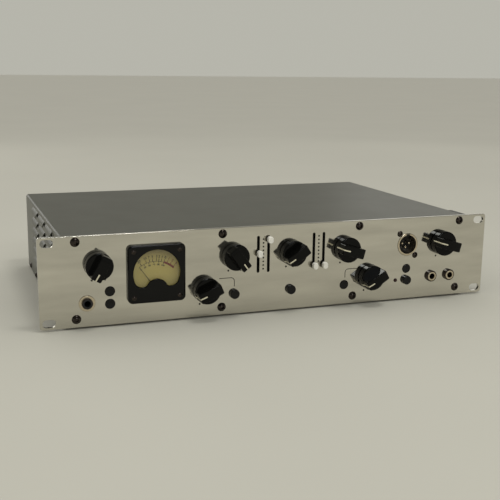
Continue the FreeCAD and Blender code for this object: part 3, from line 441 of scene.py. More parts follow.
@dataclass(frozen=True)
class BoardResin(Finish):
    """A circuit board under solder resist, with copper tracks showing through."""

    roughness: float = 0.34
    track: Colour = (0.05, 0.24, 0.10)
    track_pitch: float = 2.54
    track_share: float = 0.12
    track_run: float = 7.0
    track_edge: Span = (0.1, 0.9)
    track_depth: float = 0.035

    def dress(self, shader: Shader) -> bpy.types.Material:
        """Gives the board its raised tracks under the resist.

        Args:
            shader: The new material's shader.

        Returns:
            The finished material.
        """
        tracks = shader.node("ShaderNodeTexBrick", {
            "Vector": shader.places, "Scale": 1.0 / (self.track_pitch * MM), "Mortar Size": self.track_share,
            "Brick Width": self.track_run, "Row Height": 1.0}).outputs["Fac"]
        shader.shade(tracks, (self.colour, self.track), self.track_edge)
        shader.set({"Roughness": self.roughness})
        shader.bump(tracks, self.track_depth)
        return shader.material


@dataclass(frozen=True)
class WoundTape(Finish):
    """Overlapping turns of tape round a winding, whose axis stands at a place in x and y."""

    roughness: float = 0.32
    turns: float = 44.0
    axis: Spot = (-140.0, 15.9)
    tones: Span = (0.7, 1.05)
    edge: Span = (0.0, 0.35)
    edge_depth: float = 0.12

    def dress(self, shader: Shader) -> bpy.types.Material:
        """Gives the tape its radial overlaps about the winding's axis.

        Args:
            shader: The new material's shader.

        Returns:
            The finished material.
        """
        centred = shader.node("ShaderNodeMapping", {
            "Vector": shader.places, "Location": (-self.axis[0] * MM, -self.axis[1] * MM, 0.0)})
        sweep = shader.node("ShaderNodeTexGradient", {"Vector": centred.outputs["Vector"]},
                            gradient_type="RADIAL")
        step = shader.node("ShaderNodeMath", {0: sweep.outputs["Fac"], 1: self.turns}, operation="MULTIPLY")
        overlap = shader.node("ShaderNodeMath", {0: step.outputs["Value"]}, operation="FRACT").outputs["Value"]
        shader.shade(overlap, toned(self.colour, self.tones), self.edge)
        shader.set({"Roughness": self.roughness})
        shader.bump(overlap, self.edge_depth)
        return shader.material


SLOT_FINISHES: dict[str, Finish] = {
    "panel_steel": PolishedSteel("polished_panel_steel", (0.625, 0.60, 0.53)),
    "casing_paint": SatinPaint("casing_satin_paint", (0.058, 0.058, 0.043), 0.36),
    "bracket_paint": SatinPaint("bracket_black_paint", (0.020, 0.020, 0.019)),
    "black_screws": PlatedMetal("blackened_screw_steel", (0.055, 0.046, 0.040), 0.18, toning=Marks(900.0)),
    "foot_rubber": MouldedPlastic("foot_rubber_black", (0.018, 0.018, 0.018), 0.75),
    "knob_plastic": GlossPlastic("knob_gloss_black", (0.0028, 0.0028, 0.0024), 0.05, 0.14),
    "button_plastic": GlossPlastic("button_satin_black", (0.003, 0.003, 0.0028), 0.2, 0.28),
    "cap_plastic": GlossPlastic("slider_cap_off_white", (0.76, 0.74, 0.66), 0.20),
    "lever_steel": SatinPaint("slider_lever_black", (0.012, 0.012, 0.012), 0.4),
    "bezel_plastic": GlossPlastic("bezel_gloss_black", (0.0026, 0.0026, 0.0022), 0.12, 0.2),
    "meter_window": ClearWindow("meter_window_clear", (0.02, 0.02, 0.018)),
    "dial_card": PrintedCard("dial_card_yellowed_painted_top_shade", (0.56, 0.46, 0.13)),
    "needle_metal": SatinPaint("needle_black_paint", (0.02, 0.018, 0.010), 0.4),
    "moulded_black": MouldedPlastic("moulded_black_plastic", (0.016, 0.016, 0.016), 0.42),
    "lamp_lens": GlossPlastic("lamp_dark_red", (0.022, 0.006, 0.005), 0.18),
    "bright_plate": PlatedMetal("bright_nickel_plate", (0.60, 0.52, 0.39), 0.16),
    "zinc_nuts": PlatedMetal("zinc_plate", (0.58, 0.57, 0.50), 0.32),
    "board_resin": BoardResin("board_solder_resist", (0.012, 0.10, 0.035)),
    "switch_housing": MouldedPlastic("switch_housing_black", (0.006, 0.006, 0.006), 0.5),
    "control_can": PlatedMetal("pressed_control_can", (0.55, 0.53, 0.47), 0.28, toning=Marks(500.0)),
    "capacitor_sleeve": GlossPlastic("capacitor_dark_sleeve", (0.012, 0.016, 0.06), 0.22),
    "winding_tape": WoundTape("winding_amber_tape", (0.55, 0.42, 0.10)),
    "heatsink_metal": PlatedMetal("anodised_heatsink", (0.11, 0.11, 0.115), 0.38,
                                  toning=Marks(1200.0, Grain.UPRIGHT)),
    "device_resin": MouldedPlastic("device_resin_black", (0.02, 0.02, 0.02), 0.55),
    "fan_plastic": MouldedPlastic("fan_moulded_black", (0.016, 0.016, 0.016), 0.48),
}

INKS: dict[Print, Ink] = {
    # The black ink prints the scales and also draws the painted shade at the line output's keyway.
    Print.BLACK: Ink("black_print_and_painted_shade_ink", (0.022, 0.020, 0.012)),
    Print.RED: Ink("print_red_ink", (0.22, 0.018, 0.014)),
    Print.CREAM: Ink("pointer_cream_ink", (0.62, 0.58, 0.42), 0.35),
}


@dataclass(frozen=True)
class PanelPlane:
    """The front panel's own frame: x from its middle, back from its front face, z from its lower edge."""

    front: float
    bottom: float

    @classmethod
    def of_frame(cls) -> "PanelPlane":
        """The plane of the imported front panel."""
        lowest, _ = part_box("front_panel")
        return cls(lowest.y, lowest.z)

    def at(self, x: float, back: float, z: float) -> Vector:
        """A place on the panel as a point of the frame.

        Args:
            x: Millimetres to the right of the panel's middle.
            back: Millimetres behind the panel's front face.
            z: Millimetres above the panel's lower edge.

        Returns:
            The point in metres.
        """
        return Vector((x * MM, self.front + back * MM, self.bottom + z * MM))


@dataclass
class Dressing:
    """What every sub-assembly shares: the panel's plane and the joints by name."""

    plane: PanelPlane
    joints: dict[str, dict]

    def centre(self, joint: str) -> Vector:
        """The place that a hinge turns about."""
        return Vector(self.joints[joint]["pos_m"])

    def lowest(self, joint: str) -> float:
        """The low end of a hinge's range, in radians."""
        return math.radians(self.joints[joint]["range_deg"][0])


class MeshWork:
    """Makes plain meshes, and turns them into pieces that ride on a body."""

    @staticmethod
    def points(name: str, places: list[Vector], in_row: bool = False, **values: list[float]) -> bpy.types.Mesh:
        """A mesh of points, loose or joined in a row.

        Args:
            name: The mesh's name.
            places: The points in order.
            in_row: Whether each point is joined to the next.
            values: Named numbers for each point.

        Returns:
            The mesh.
        """
        mesh = bpy.data.meshes.new(name)
        mesh.from_pydata(places, [(i, i + 1) for i in range(len(places) - 1)] if in_row else [], [])
        for label, numbers in values.items():
            attribute = mesh.attributes.new(label, "FLOAT", "POINT")
            attribute.data.foreach_set("value", numbers)
        return mesh

    @staticmethod
    def slab(name: str, outline: list[Spot], half_width: float, turned: Matrix) -> bpy.types.Mesh:
        """A closed slab: an outline in x and y, drawn out both ways along z.

        Args:
            name: The mesh's name.
            outline: The outline's corners in millimetres, in order.
            half_width: How far the slab reaches each way, in millimetres.
            turned: The slab's place in the frame.

        Returns:
            The mesh, with its faces outwards.
        """
        build = bmesh.new()
        back, front = ([build.verts.new((x * MM, y * MM, side * half_width * MM)) for x, y in outline]
                       for side in (-1, 1))
        build.faces.new(back)
        build.faces.new(front)
        count = len(outline)
        for i in range(count):
            following = (i + 1) % count
            build.faces.new((back[i], back[following], front[following], front[i]))
        bmesh.ops.recalc_face_normals(build, faces=build.faces)
        bmesh.ops.transform(build, matrix=turned, verts=build.verts)
        mesh = bpy.data.meshes.new(name)
        build.to_mesh(mesh)
        build.free()
        return mesh

    @staticmethod
    def joined(name: str, meshes: list[bpy.types.Mesh]) -> bpy.types.Mesh:
        """Several meshes as one.

        Args:
            name: The new mesh's name.
            meshes: The meshes, which are used up.

        Returns:
            The joined mesh.
        """
        build = bmesh.new()
        for mesh in meshes:
            build.from_mesh(mesh)
            bpy.data.meshes.remove(mesh)
        whole = bpy.data.meshes.new(name)
        build.to_mesh(whole)
        build.free()
        return whole

    @staticmethod
    def settled(holder: bpy.types.Object) -> bpy.types.Mesh:
        """The evaluated shape of an object as a plain mesh.

        Args:
            holder: The object, which is used up.

        Returns:
            The mesh.
        """
        bpy.context.scene.collection.objects.link(holder)
        graph = bpy.context.evaluated_depsgraph_get()
        mesh = bpy.data.meshes.new_from_object(holder.evaluated_get(graph), depsgraph=graph)
        holder.modifiers.clear()
        bpy.data.objects.remove(holder)
        return mesh

    @staticmethod
    def piece(name: str, mesh: bpy.types.Mesh, finish: Finish, body: str, slot: str) -> None:
        """Makes a finished piece that rides on a body.

        Args:
            name: The piece's name.
            mesh: Its mesh, in place.
            finish: Its finish.
            body: The body that it rides on.
            slot: Not used.
        """
        made = bpy.data.objects.new(name, mesh)
        bpy.context.scene.collection.objects.link(made)
        mesh.materials.clear()
        mesh.materials.append(finish.material())
        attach(made, body)
        LOG.info("%s: %d faces on %s", name, len(mesh.polygons), body)


class GeometryTree(NodeWork):
    """A Geometry Nodes tree with named sizes, and the plain mesh that it makes."""

    def __init__(self, name: str) -> None:
        """Starts the tree.

        Args:
            name: The tree's name.
        """
        super().__init__(bpy.data.node_groups.new(name, "GeometryNodeTree"))
        for way in ("INPUT", "OUTPUT"):
            self.tree.interface.new_socket("Geometry", in_out=way, socket_type="NodeSocketGeometry")
        self.entry = self.tree.nodes.new("NodeGroupInput")
        self.exit = self.tree.nodes.new("NodeGroupOutput")
        self.sizes: dict[str, float | int] = {}

    @property
    def start(self) -> bpy.types.NodeSocket:
        """The geometry that the tree starts from."""
        return self.entry.outputs["Geometry"]

    def length(self, name: str, value: float) -> bpy.types.NodeSocket:
        """A named size in millimetres, given to the tree in metres."""
        return self._input(name, "NodeSocketFloat", value * MM)

    def count(self, name: str, value: int) -> bpy.types.NodeSocket:
        """A named number of copies or sides."""
        return self._input(name, "NodeSocketInt", value)

    def _input(self, name: str, kind: str, value: float | int) -> bpy.types.NodeSocket:
        """Adds a named input, and keeps its value under the socket's identifier.

        Args:
            name: The input's name.
            kind: The socket's type.
            value: The value that the tree is run with.

        Returns:
            The input as an output of the tree's entry.
        """
        item = self.tree.interface.new_socket(name, in_out="INPUT", socket_type=kind)
        self.sizes[item.identifier] = value
        return self.entry.outputs[name]

    def vector(self, **parts: object) -> bpy.types.NodeSocket:
        """A vector from parts named X, Y and Z."""
        return self.node("ShaderNodeCombineXYZ", parts).outputs["Vector"]

    def mesh(self, name: str, start: bpy.types.Mesh, result: bpy.types.NodeSocket,
             finish: Finish) -> bpy.types.Mesh:
        """Ends the tree, runs it once and keeps the result as a plain mesh.

        Args:
            name: The mesh's name.
            start: The mesh that the tree starts from.
            result: The geometry to end with.
            finish: The finish of every face.

        Returns:
            The plain mesh.
        """
        whole = self.node("GeometryNodeRealizeInstances", {"Geometry": result})
        dressed = self.node("GeometryNodeSetMaterial", {
            "Geometry": whole.outputs[0], "Material": finish.material()})
        self.tree.links.new(dressed.outputs["Geometry"], self.exit.inputs["Geometry"])
        carrier = bpy.data.objects.new(name + "_carrier", start)
        modifier = carrier.modifiers.new("tree", "NODES")
        modifier.node_group = self.tree
        for identifier, value in self.sizes.items():
            modifier[identifier] = value
        made = MeshWork.settled(carrier)
        made.name = name
        bpy.data.meshes.remove(start)
        return made


@dataclass(frozen=True)
class DotRows:
    """Round dots printed on the panel: one on each point, or a row of them up from it."""

    radius: float
    thickness: float = 0.05
    sides: int = 24
    row_count: int = 1
    row_pitch: float = 0.0

    def mesh(self, name: str, places: list[Vector], finish: Finish) -> bpy.types.Mesh:
        """Makes the dots.

        Args:
            name: The mesh's name.
            places: The lowest dot of each row, on the face that carries it.
            finish: The ink.

        Returns:
            The dots as one mesh.
        """
        work = GeometryTree(name + "_tree")
        pitch = work.length("Row pitch", self.row_pitch)
        row = work.node("GeometryNodeMeshLine", {
            "Count": work.count("Dots in a row", self.row_count), "Offset": work.vector(Z=pitch)})
        rows = work.node("GeometryNodeInstanceOnPoints", {
            "Points": work.start, "Instance": row.outputs["Mesh"]})
        spots = work.node("GeometryNodeRealizeInstances", {"Geometry": rows.outputs["Instances"]})
        dot = work.node("GeometryNodeMeshCylinder", {
            "Vertices": work.count("Sides", self.sides), "Radius": work.length("Radius", self.radius),
            "Depth": work.length("Thickness", self.thickness)})
        facing = work.node("FunctionNodeEulerToRotation", {"Euler": (QUARTER_TURN, 0.0, 0.0)})
        dots = work.node("GeometryNodeInstanceOnPoints", {
            "Points": spots.outputs["Geometry"], "Instance": dot.outputs["Mesh"],
            "Rotation": facing.outputs["Rotation"]})
        return work.mesh(name, MeshWork.points(name + "_points", places), dots.outputs["Instances"], finish)


@dataclass(frozen=True)
class TickMarks:
    """Short radial marks on a dial, each at its own angle and length."""

    width: float = 0.6
    thickness: float = 0.03

    def mesh(self, name: str, pivot: Vector, marks: list[tuple[float, float, float]],
             finish: Finish) -> bpy.types.Mesh:
        """Makes the marks.

        Args:
            name: The mesh's name.
            pivot: The dial's centre, on the face that carries the marks.
            marks: Each mark's angle in radians, and its inner and outer radius in millimetres.
            finish: The ink.

        Returns:
            The marks as one mesh.
        """
        work = GeometryTree(name + "_tree")
        size = work.vector(X=1.0, Y=work.length("Thickness", self.thickness),
                           Z=work.length("Width", self.width))
        bar = work.node("GeometryNodeMeshCube", {"Size": size})
        turn, reach = (work.node("GeometryNodeInputNamedAttribute", {"Name": label}, data_type="FLOAT")
                       for label in ("turn", "reach"))
        facing = work.node("FunctionNodeEulerToRotation", {"Euler": work.vector(Y=turn.outputs["Attribute"])})
        bars = work.node("GeometryNodeInstanceOnPoints", {
            "Points": work.start, "Instance": bar.outputs["Mesh"], "Rotation": facing.outputs["Rotation"],
            "Scale": work.vector(X=reach.outputs["Attribute"], Y=1.0, Z=1.0)})
        places = [pivot + outward(angle) * (near + far) / 2 * MM for angle, near, far in marks]
        start = MeshWork.points(name + "_points", places, turn=[-angle for angle, _, _ in marks],
                                reach=[(far - near) * MM for _, near, far in marks])
        return work.mesh(name, start, bars.outputs["Instances"], finish)


@dataclass(frozen=True)
class Ribbon:
    """A flat printed line of even width, with rounded corners."""

    width: float
    thickness: float = 0.04
    corner: float = 0.0
    corner_steps: int = 8

    def mesh(self, name: str, path: list[Vector], finish: Finish) -> bpy.types.Mesh:
        """Draws the line along a path that stands upright, facing the front.

        Args:
            name: The mesh's name.
            path: The path's corners, at one depth.
            finish: The ink.

        Returns:
            The line as a closed strip.
        """
        work = GeometryTree(name + "_tree")
        line = work.node("GeometryNodeMeshToCurve", {"Mesh": work.start}).outputs["Curve"]
        if self.corner > 0.0:
            rounded = work.node("GeometryNodeFilletCurve", {
                "Curve": line, "Radius": work.length("Corner", self.corner),
                "Count": work.count("Corner steps", self.corner_steps)}, mode="POLY")
            line = rounded.outputs["Curve"]
        level = work.node("GeometryNodeSetCurveNormal", {"Curve": line}, mode="Z_UP")
        section = work.node("GeometryNodeCurvePrimitiveQuadrilateral", {
            "Width": work.length("Width", self.width), "Height": work.length("Thickness", self.thickness)})
        strip = work.node("GeometryNodeCurveToMesh", {
            "Curve": level.outputs["Curve"], "Profile Curve": section.outputs["Curve"], "Fill Caps": True})
        upright = work.node("GeometryNodeTransform", {
            "Geometry": strip.outputs["Mesh"], "Translation": (0.0, path[0].y, 0.0),
            "Rotation": (QUARTER_TURN, 0.0, 0.0)})
        flat = MeshWork.points(name + "_path", [Vector((place.x, place.z, 0.0)) for place in path], True)
        return work.mesh(name, flat, upright.outputs["Geometry"], finish)


@dataclass
class BarKnobs(Dressing):
    """The seven bar knobs: a cream line let into each, and the end marks printed round them."""

    names: tuple[str, ...] = ("input", "drive", "bass", "middle", "treble", "sub", "output")
    full_turn_start: float = 246.4
    radius: float = 13.2
    skirt_rise: float = 9.8
    skirt_round: float = 1.5
    rise: float = 21.2
    bar_arch: float = 1.1
    bar_tip: float = 12.15
    bar_foot: float = 12.55
    bar_round: float = 0.7
    line_start: float = 5.0
    line_foot: float = 5.0
    line_width: float = 1.26
    line_depth: float = 0.3
    line_sink: float = 0.04
    round_steps: int = 6
    mark_radius: float = 1.0
    mark_reach: float = 6.3
    mark_drop: float = 14.4

    def bend(self, middle: Spot, radius: float, start: float, end: float) -> list[Spot]:
        """Points round a bend, each at an angle from straight ahead towards the bar's end.

        Args:
            middle: The bend's centre.
            radius: Its radius.
            start: The angle where it starts, in radians.
            end: The angle where it ends, in radians.

        Returns:
            The points in order.
        """
        return [(middle[0] + radius * math.sin(angle), middle[1] - radius * math.cos(angle))
                for angle in stretches(start, end, self.round_steps)]

    def run(self, inset: float) -> list[Spot]:
        """The line's way over the knob: along the crest, down the bar's end and over the skirt's rim.

        Args:
            inset: How far it lies below the surface, in millimetres.

        Returns:
            Its points: the reach from the knob's axis, and the height off the panel as a negative number.
        """
        crest_radius = (self.bar_tip ** 2 + self.bar_arch ** 2) / (2 * self.bar_arch)
        crest_start = math.asin(self.line_start / crest_radius)
        crest_middle = (0.0, crest_radius - self.rise)
        nose = self.bar_tip - self.bar_round
        fall = math.asin(nose / crest_radius)
        nose_middle = (nose, crest_middle[1] - (crest_radius - self.bar_round) * math.cos(fall))
        drop = self.rise - self.bar_arch - self.skirt_rise + self.skirt_round
        lean = math.atan2(self.bar_foot - self.bar_tip, drop)
        rim_middle = (self.radius - self.skirt_round, self.skirt_round - self.skirt_rise)
        rim_start = math.asin((self.bar_foot - inset - rim_middle[0]) / (self.skirt_round - inset))
        return [*self.bend(crest_middle, crest_radius - inset, crest_start, fall),
                *self.bend(nose_middle, self.bar_round - inset, fall, QUARTER_TURN - lean),
                *self.bend(rim_middle, self.skirt_round - inset, rim_start, QUARTER_TURN),
                (self.radius - inset, -self.line_foot)]

    def outline(self) -> list[Spot]:
        """The line's outline: out along its face and back along the groove's floor."""
        return self.run(self.line_sink) + self.run(self.line_depth)[::-1]

    def lines(self) -> None:
        """Lets a cream line into each knob, pointing where the knob does."""
        for name in self.names:
            joint = f"{name}_knob_turn"
            pointing = self.lowest(joint) + math.radians(self.full_turn_start)
            turned = Matrix.Translation(self.centre(joint)) @ Matrix.Rotation(-pointing, 4, "Y")
            mesh = MeshWork.slab(f"{name}_knob_line", self.outline(), self.line_width / 2, turned)
            MeshWork.piece(f"{name}_knob_line", mesh, INKS[Print.CREAM], f"{name}_knob", "cap_plastic")

    def end_marks(self) -> None:
        """Prints a dot at each end of every knob's travel."""
        drop = -self.mark_drop * MM
        places = [self.centre(f"{name}_knob_turn") + Vector((side * self.mark_reach * MM, 0.0, drop))
                  for name in self.names for side in (-1, 1)]
        mesh = DotRows(self.mark_radius).mesh("knob_end_marks", places, INKS[Print.BLACK])
        MeshWork.piece("knob_end_marks", mesh, INKS[Print.BLACK], CASING, "black_screws")

    def build(self) -> None:
        """Makes the lines and the marks."""
        self.lines()
        self.end_marks()


@dataclass
class SliderScales(Dressing):
    """The rows of dots that stand between each pair of slide controls."""

    pair_middles: Span = (-19.45, 41.3)
    lowest_dot: float = 44.25
    dot_pitch: float = 3.79
    dot_count: int = 9
    dot_radius: float = 0.95

    def build(self) -> None:
        """Prints the two rows."""
        places = [self.plane.at(x, 0.0, self.lowest_dot) for x in self.pair_middles]
        rows = DotRows(self.dot_radius, row_count=self.dot_count, row_pitch=self.dot_pitch)
        mesh = rows.mesh("slider_scale_dots", places, INKS[Print.BLACK])
        MeshWork.piece("slider_scale_dots", mesh, INKS[Print.BLACK], CASING, "black_screws")


@dataclass
class LinkLines(Dressing):
    """The two fine lines that tie the drive and sub knobs to the buttons beside them."""

    line_width: float = 0.7
    level: float = 37.4
    corner: float = 3.6
    low_end: float = 28.3
    left_run: Span = (-65.9, -50.0)
    right_run: Span = (85.9, 72.4)

    def build(self) -> None:
        """Draws both lines."""
        ink = INKS[Print.BLACK]
        for name, (start, end) in (("drive_link_line", self.left_run), ("sub_link_line", self.right_run)):
            path = [self.plane.at(start, 0.0, self.level), self.plane.at(end, 0.0, self.level),
                    self.plane.at(end, 0.0, self.low_end)]
            mesh = Ribbon(self.line_width, corner=self.corner).mesh(name, path, ink)
            MeshWork.piece(name, mesh, ink, CASING, "black_screws")


@dataclass
class LineOutputKey(Dressing):
    """A painted shade laid on the top of the line output's rim, for the dark of its keyway notch."""

    radius: float = 10.8
    reach: float = 11.0
    band: float = 1.4
    thickness: float = 0.08
    steps: int = 8

    def build(self) -> None:
        """Lays the painted keyway shade on the rim's flat front."""
        lowest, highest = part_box("line_output_shell")
        middle = Vector(((lowest.x + highest.x) / 2, lowest.y, (lowest.z + highest.z) / 2))
        reach = math.radians(self.reach)
        path = [middle + outward(angle) * self.radius * MM
                for angle in stretches(QUARTER_TURN + reach, QUARTER_TURN - reach, self.steps)]
        # Painted shade: a band of black ink where the keyway notch is dark.
        mesh = Ribbon(self.band, self.thickness).mesh("line_output_keyway_painted_shade", path, INKS[Print.BLACK])
        MeshWork.piece("line_output_keyway_painted_shade", mesh, INKS[Print.BLACK], CASING, "moulded_black")


@dataclass
class LevelDial(Dressing):
    """The print on the meter's dial: a black and a red arc, their marks and plain numbers."""

    rest_angle: float = 126.0
    full_swing: float = 77.5
    full_level: float = 3.0
    decade: float = 20.0
    arc_radius: float = 26.6
    arc_width: float = 0.4
    arc_steps: int = 40
    red_arc_width: float = 2.0
    red_overrun: float = 2.5
    mark_reach: float = 2.9
    small_mark_reach: float = 1.8
    number_radius: float = 31.4
    number_size: float = 3.3
    number_weight: float = 0.09
    share_radius: float = 23.4
    share_size: float = 2.3
    lift: float = 0.02
    black_levels: tuple[int, ...] = (-20, -10, -7, -5, -3, -2, -1, 0)
    red_levels: tuple[int, ...] = (1, 2, 3)
    shares: tuple[int, ...] = (0, 20, 40, 60, 80, 100)

    @property
    def pivot(self) -> Vector:
        """The needle's pivot, lifted just off the dial's face.

        Returns:
            The point in metres.
        """
        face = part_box("meter_dial")[0].y
        middle = self.centre("needle_swing")
        return Vector((middle.x, face - self.lift * MM, middle.z))

    def angle(self, level: float) -> float:
        """The angle of a level in decibels, in radians."""
        swing = self.full_swing * 10 ** ((level - self.full_level) / self.decade)
        return math.radians(self.rest_angle - swing)

    def share_angle(self, share: int) -> float:
        """The angle of a share in percent, evenly spread up to the level 0, in radians."""
        rest = math.radians(self.rest_angle)
        return rest + (self.angle(0) - rest) * share / 100

    def on_dial(self, angle: float, radius: float) -> Vector:
        """A point of the dial, at an angle in radians and a radius in millimetres."""
        return self.pivot + outward(angle) * radius * MM

    def arc(self, name: str, start: float, end: float, width: float, ink: Ink) -> None:
        """Draws an arc of the scale.

        Args:
            name: The piece's name.
            start: The angle where it starts, in radians.
            end: The angle where it ends, in radians.
            width: Its width in millimetres.
            ink: Its ink.
        """
        path = [self.on_dial(angle, self.arc_radius) for angle in stretches(start, end, self.arc_steps)]
        MeshWork.piece(name, Ribbon(width).mesh(name, path, ink), ink, CASING, "dial_card")

    def marks(self) -> None:
        """Draws the level marks outside the arc, and the share marks inside it."""
        outer = self.arc_radius + self.mark_reach
        inner = self.arc_radius - self.small_mark_reach
        black, red = ([(self.angle(level), self.arc_radius, outer) for level in levels]
                      for levels in (self.black_levels, self.red_levels))
        black += [(self.share_angle(share), inner, self.arc_radius) for share in self.shares]
        for name, marks, ink in (("dial_black_marks", black, Print.BLACK), ("dial_red_marks", red, Print.RED)):
            mesh = TickMarks().mesh(name, self.pivot, marks, INKS[ink])
            MeshWork.piece(name, mesh, INKS[ink], CASING, "dial_card")

    def number(self, value: int, angle: float, radius: float, size: float) -> bpy.types.Mesh:
        """One number of a scale, upright along its radius.

        Args:
            value: The number, whose sign isn't printed.
            angle: Its angle in radians.
            radius: The distance of its middle from the pivot, in millimetres.
            size: Its size in millimetres.

        Returns:
            The number's mesh, in place.
        """
        text = bpy.data.curves.new(f"number_{value}", "FONT")
        text.body = str(abs(value))
        text.size = size * MM
        text.extrude = self.lift / 2 * MM
        text.offset = self.number_weight * MM
        text.align_x = "CENTER"
        text.align_y = "CENTER"
        mesh = MeshWork.settled(bpy.data.objects.new(text.name, text))
        facing = Matrix.Rotation(QUARTER_TURN, 4, "X") @ Matrix.Rotation(angle - QUARTER_TURN, 4, "Z")
        mesh.transform(Matrix.Translation(self.on_dial(angle, radius)) @ facing)
        return mesh

    def numbers(self) -> None:
        """Prints the levels' numbers, black up to 0 and red past it, and the shares' numbers below the arc."""
        black, red = ([self.number(level, self.angle(level), self.number_radius, self.number_size)
                       for level in levels] for levels in (self.black_levels, self.red_levels))
        black += [self.number(share, self.share_angle(share), self.share_radius, self.share_size)
                  for share in self.shares]
        for name, meshes, ink in (("dial_black_numbers", black, Print.BLACK),
                                  ("dial_red_numbers", red, Print.RED)):
            MeshWork.piece(name, MeshWork.joined(name, meshes), INKS[ink], CASING, "dial_card")

    def build(self) -> None:
        """Makes the whole print."""
        zero = self.angle(0)
        last = self.angle(self.full_level) - math.radians(self.red_overrun)
        self.arc("dial_black_arc", math.radians(self.rest_angle), zero, self.arc_width, INKS[Print.BLACK])
        self.arc("dial_red_arc", zero, last, self.red_arc_width, INKS[Print.RED])
        self.marks()
        self.numbers()


@dataclass
class CastFinishes:
    """Gives every part of the frame the finish of its material slot."""

    nodes: dict[str, bpy.types.Object]
    subparts: list[dict[str, str]]

    def build(self) -> None:
        """Dresses the parts."""
        for part in self.subparts:
            finish = SLOT_FINISHES[part["material_slot"]]
            for holder in self.nodes[part["node"]].material_slots:
                holder.material = finish.material()
            LOG.info("%s: %s", part["node"], finish.name)


@dataclass(frozen=True)
class SoftLamp:
    """A soft rectangular lamp: its middle, width and height in metres, its power in watts and its colour."""

    name: str
    place: tuple[float, float, float]
    width: float
    height: float
    power: float
    colour: Colour

    def hang(self, target: Vector) -> None:
        """Hangs the lamp.

        Args:
            target: The point that it faces.
        """
        light = bpy.data.lights.new(self.name, "AREA")
        light.shape = "RECTANGLE"
        light.size = self.width
        light.size_y = self.height
        light.energy = self.power
        light.color = self.colour
        place = Vector(self.place)
        facing = (place - target).to_track_quat("Z", "Y").to_matrix().to_4x4()
        lamp = bpy.data.objects.new(self.name, light)
        lamp.matrix_world = Matrix.Translation(place) @ facing
        bpy.context.scene.collection.objects.link(lamp)


LAMPS: tuple[SoftLamp, ...] = (
    SoftLamp("overhead_lamp", (0.15, -0.5, 1.5), 0.34, 0.2, 4.2, (1.0, 0.99, 0.97)),
    SoftLamp("front_lamp", (0.1, -2.0, 1.3), 0.6, 0.35, 5.0, (0.90, 0.95, 1.0)),
    SoftLamp("rear_left_lamp", (-0.7, 1.7, 0.5), 0.7, 0.5, 1.3, (1.0, 0.99, 0.95)),
    SoftLamp("rear_right_lamp", (1.2, 1.5, 0.6), 0.6, 0.4, 0.4, (1.0, 0.99, 0.95)),
    SoftLamp("left_lamp", (-1.5, 0.6, 0.7), 0.7, 0.7, 1.4, (0.98, 0.99, 1.0)),
)


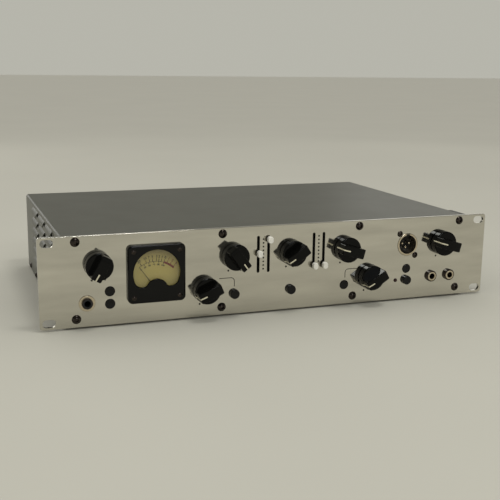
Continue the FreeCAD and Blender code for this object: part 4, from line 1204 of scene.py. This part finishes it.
@dataclass
class Studio:
    """The floor, the soft light and the camera."""

    plane: PanelPlane
    floor_colour: Colour = (0.50, 0.49, 0.42)
    floor_mottle: Marks = Marks(3.0)
    floor_tones: Span = (0.985, 1.015)
    floor_roughness: float = 0.9
    floor_reach: float = 30.0
    air_colour: Colour = (1.0, 0.985, 0.95)
    air_level: float = 0.80
    backdrop_colour: Colour = (0.47, 0.465, 0.41)
    dim_colour: Colour = (0.16, 0.158, 0.14)
    dim_rise: Span = (0.12, 0.42)
    lamps_face: tuple[float, float, float] = (0.0, 0.0, 0.05)
    azimuth: float = -20.345
    elevation: float = 12.097
    roll: float = 0.747
    distance: float = 867.8
    look_at: tuple[float, float, float] = (-33.831, 0.0, 64.396)
    lens: float = 62.716
    sensor: float = 36.0

    def floor(self) -> None:
        """Lays a wide pale floor with a faint mottle."""
        shader = Shader("studio_floor")
        shader.shade(shader.noise(self.floor_mottle), toned(self.floor_colour, self.floor_tones))
        shader.set({"Roughness": self.floor_roughness})
        half = self.floor_reach / 2
        corners = [(x * half, y * half, 0.0) for x, y in ((-1, -1), (1, -1), (1, 1), (-1, 1))]
        mesh = bpy.data.meshes.new("studio_floor")
        mesh.from_pydata(corners, [], [(0, 1, 2, 3)])
        mesh.materials.append(shader.material)
        floor = bpy.data.objects.new("studio_floor", mesh)
        bpy.context.scene.collection.objects.link(floor)

    def air(self) -> None:
        """Fills the room with plain light, and shows eyes and mirrors a pale backdrop that dims upwards."""
        world = bpy.data.worlds.new("studio_air")
        world.use_nodes = True
        bpy.context.scene.world = world
        work = NodeWork(world.node_tree)
        light = work.tree.nodes["Background"]
        light.inputs["Color"].default_value = (*self.air_colour, 1.0)
        light.inputs["Strength"].default_value = self.air_level
        direction = work.node("ShaderNodeTexCoord", {}).outputs["Generated"]
        rise = work.node("ShaderNodeSeparateXYZ", {"Vector": direction}).outputs["Z"]
        backdrop = work.node("ShaderNodeBackground", {
            "Color": work.ramp(rise, (self.backdrop_colour, self.dim_colour), self.dim_rise)})
        rays = work.node("ShaderNodeLightPath", {})
        seen = rays.outputs["Is Camera Ray"]
        for other in ("Is Glossy Ray", "Is Transmission Ray"):
            either = work.node("ShaderNodeMath", {0: seen, 1: rays.outputs[other]}, operation="MAXIMUM")
            seen = either.outputs["Value"]
        choice = work.node("ShaderNodeMixShader", {
            "Fac": seen, 1: light.outputs["Background"], 2: backdrop.outputs["Background"]})
        work.tree.links.new(choice.outputs["Shader"], work.tree.nodes["World Output"].inputs["Surface"])

    def lamps(self) -> None:
        """Hangs the lamps: overhead, in front, two behind and one at the left."""
        for lamp in LAMPS:
            lamp.hang(Vector(self.lamps_face))

    def camera(self) -> None:
        """Sets up the camera at the photograph's angle."""
        azimuth, elevation, roll = (math.radians(v) for v in (self.azimuth, self.elevation, self.roll))
        back = Vector((math.sin(azimuth) * math.cos(elevation), -math.cos(azimuth) * math.cos(elevation),
                       math.sin(elevation)))
        level = Vector((math.cos(azimuth), math.sin(azimuth), 0.0))
        upward = back.cross(level)
        right = level * math.cos(roll) + upward * math.sin(roll)
        up = upward * math.cos(roll) - level * math.sin(roll)
        lens = bpy.data.cameras.new("photo_camera")
        lens.lens = self.lens
        lens.sensor_width = self.sensor
        lens.clip_end = self.floor_reach
        camera = bpy.data.objects.new("photo_camera", lens)
        place = self.plane.at(*self.look_at) + back * self.distance * MM
        camera.matrix_world = Matrix.Translation(place) @ Matrix((right, up, back)).transposed().to_4x4()
        bpy.context.scene.collection.objects.link(camera)
        bpy.context.scene.camera = camera

    def build(self) -> None:
        """Sets the whole stage."""
        bpy.context.scene.view_settings.view_transform = "Standard"
        self.floor()
        self.air()
        self.lamps()
        self.camera()
        LOG.info("studio: floor, air, %d lamps and the camera", len(LAMPS))


def main() -> None:
    """Dresses the frame, adds the printed scales and sets the stage."""
    logging.basicConfig(level=logging.INFO, format="%(name)s: %(message)s")
    plane = PanelPlane.of_frame()
    joints = {joint["name"]: joint for joint in frame["joints"]}
    Studio(plane).build()
    CastFinishes(frame["nodes"], frame["record"]["subparts"]).build()
    for assembly in (BarKnobs, SliderScales, LinkLines, LineOutputKey, LevelDial):
        assembly(plane, joints).build()


if __name__ == "__main__":
    main()
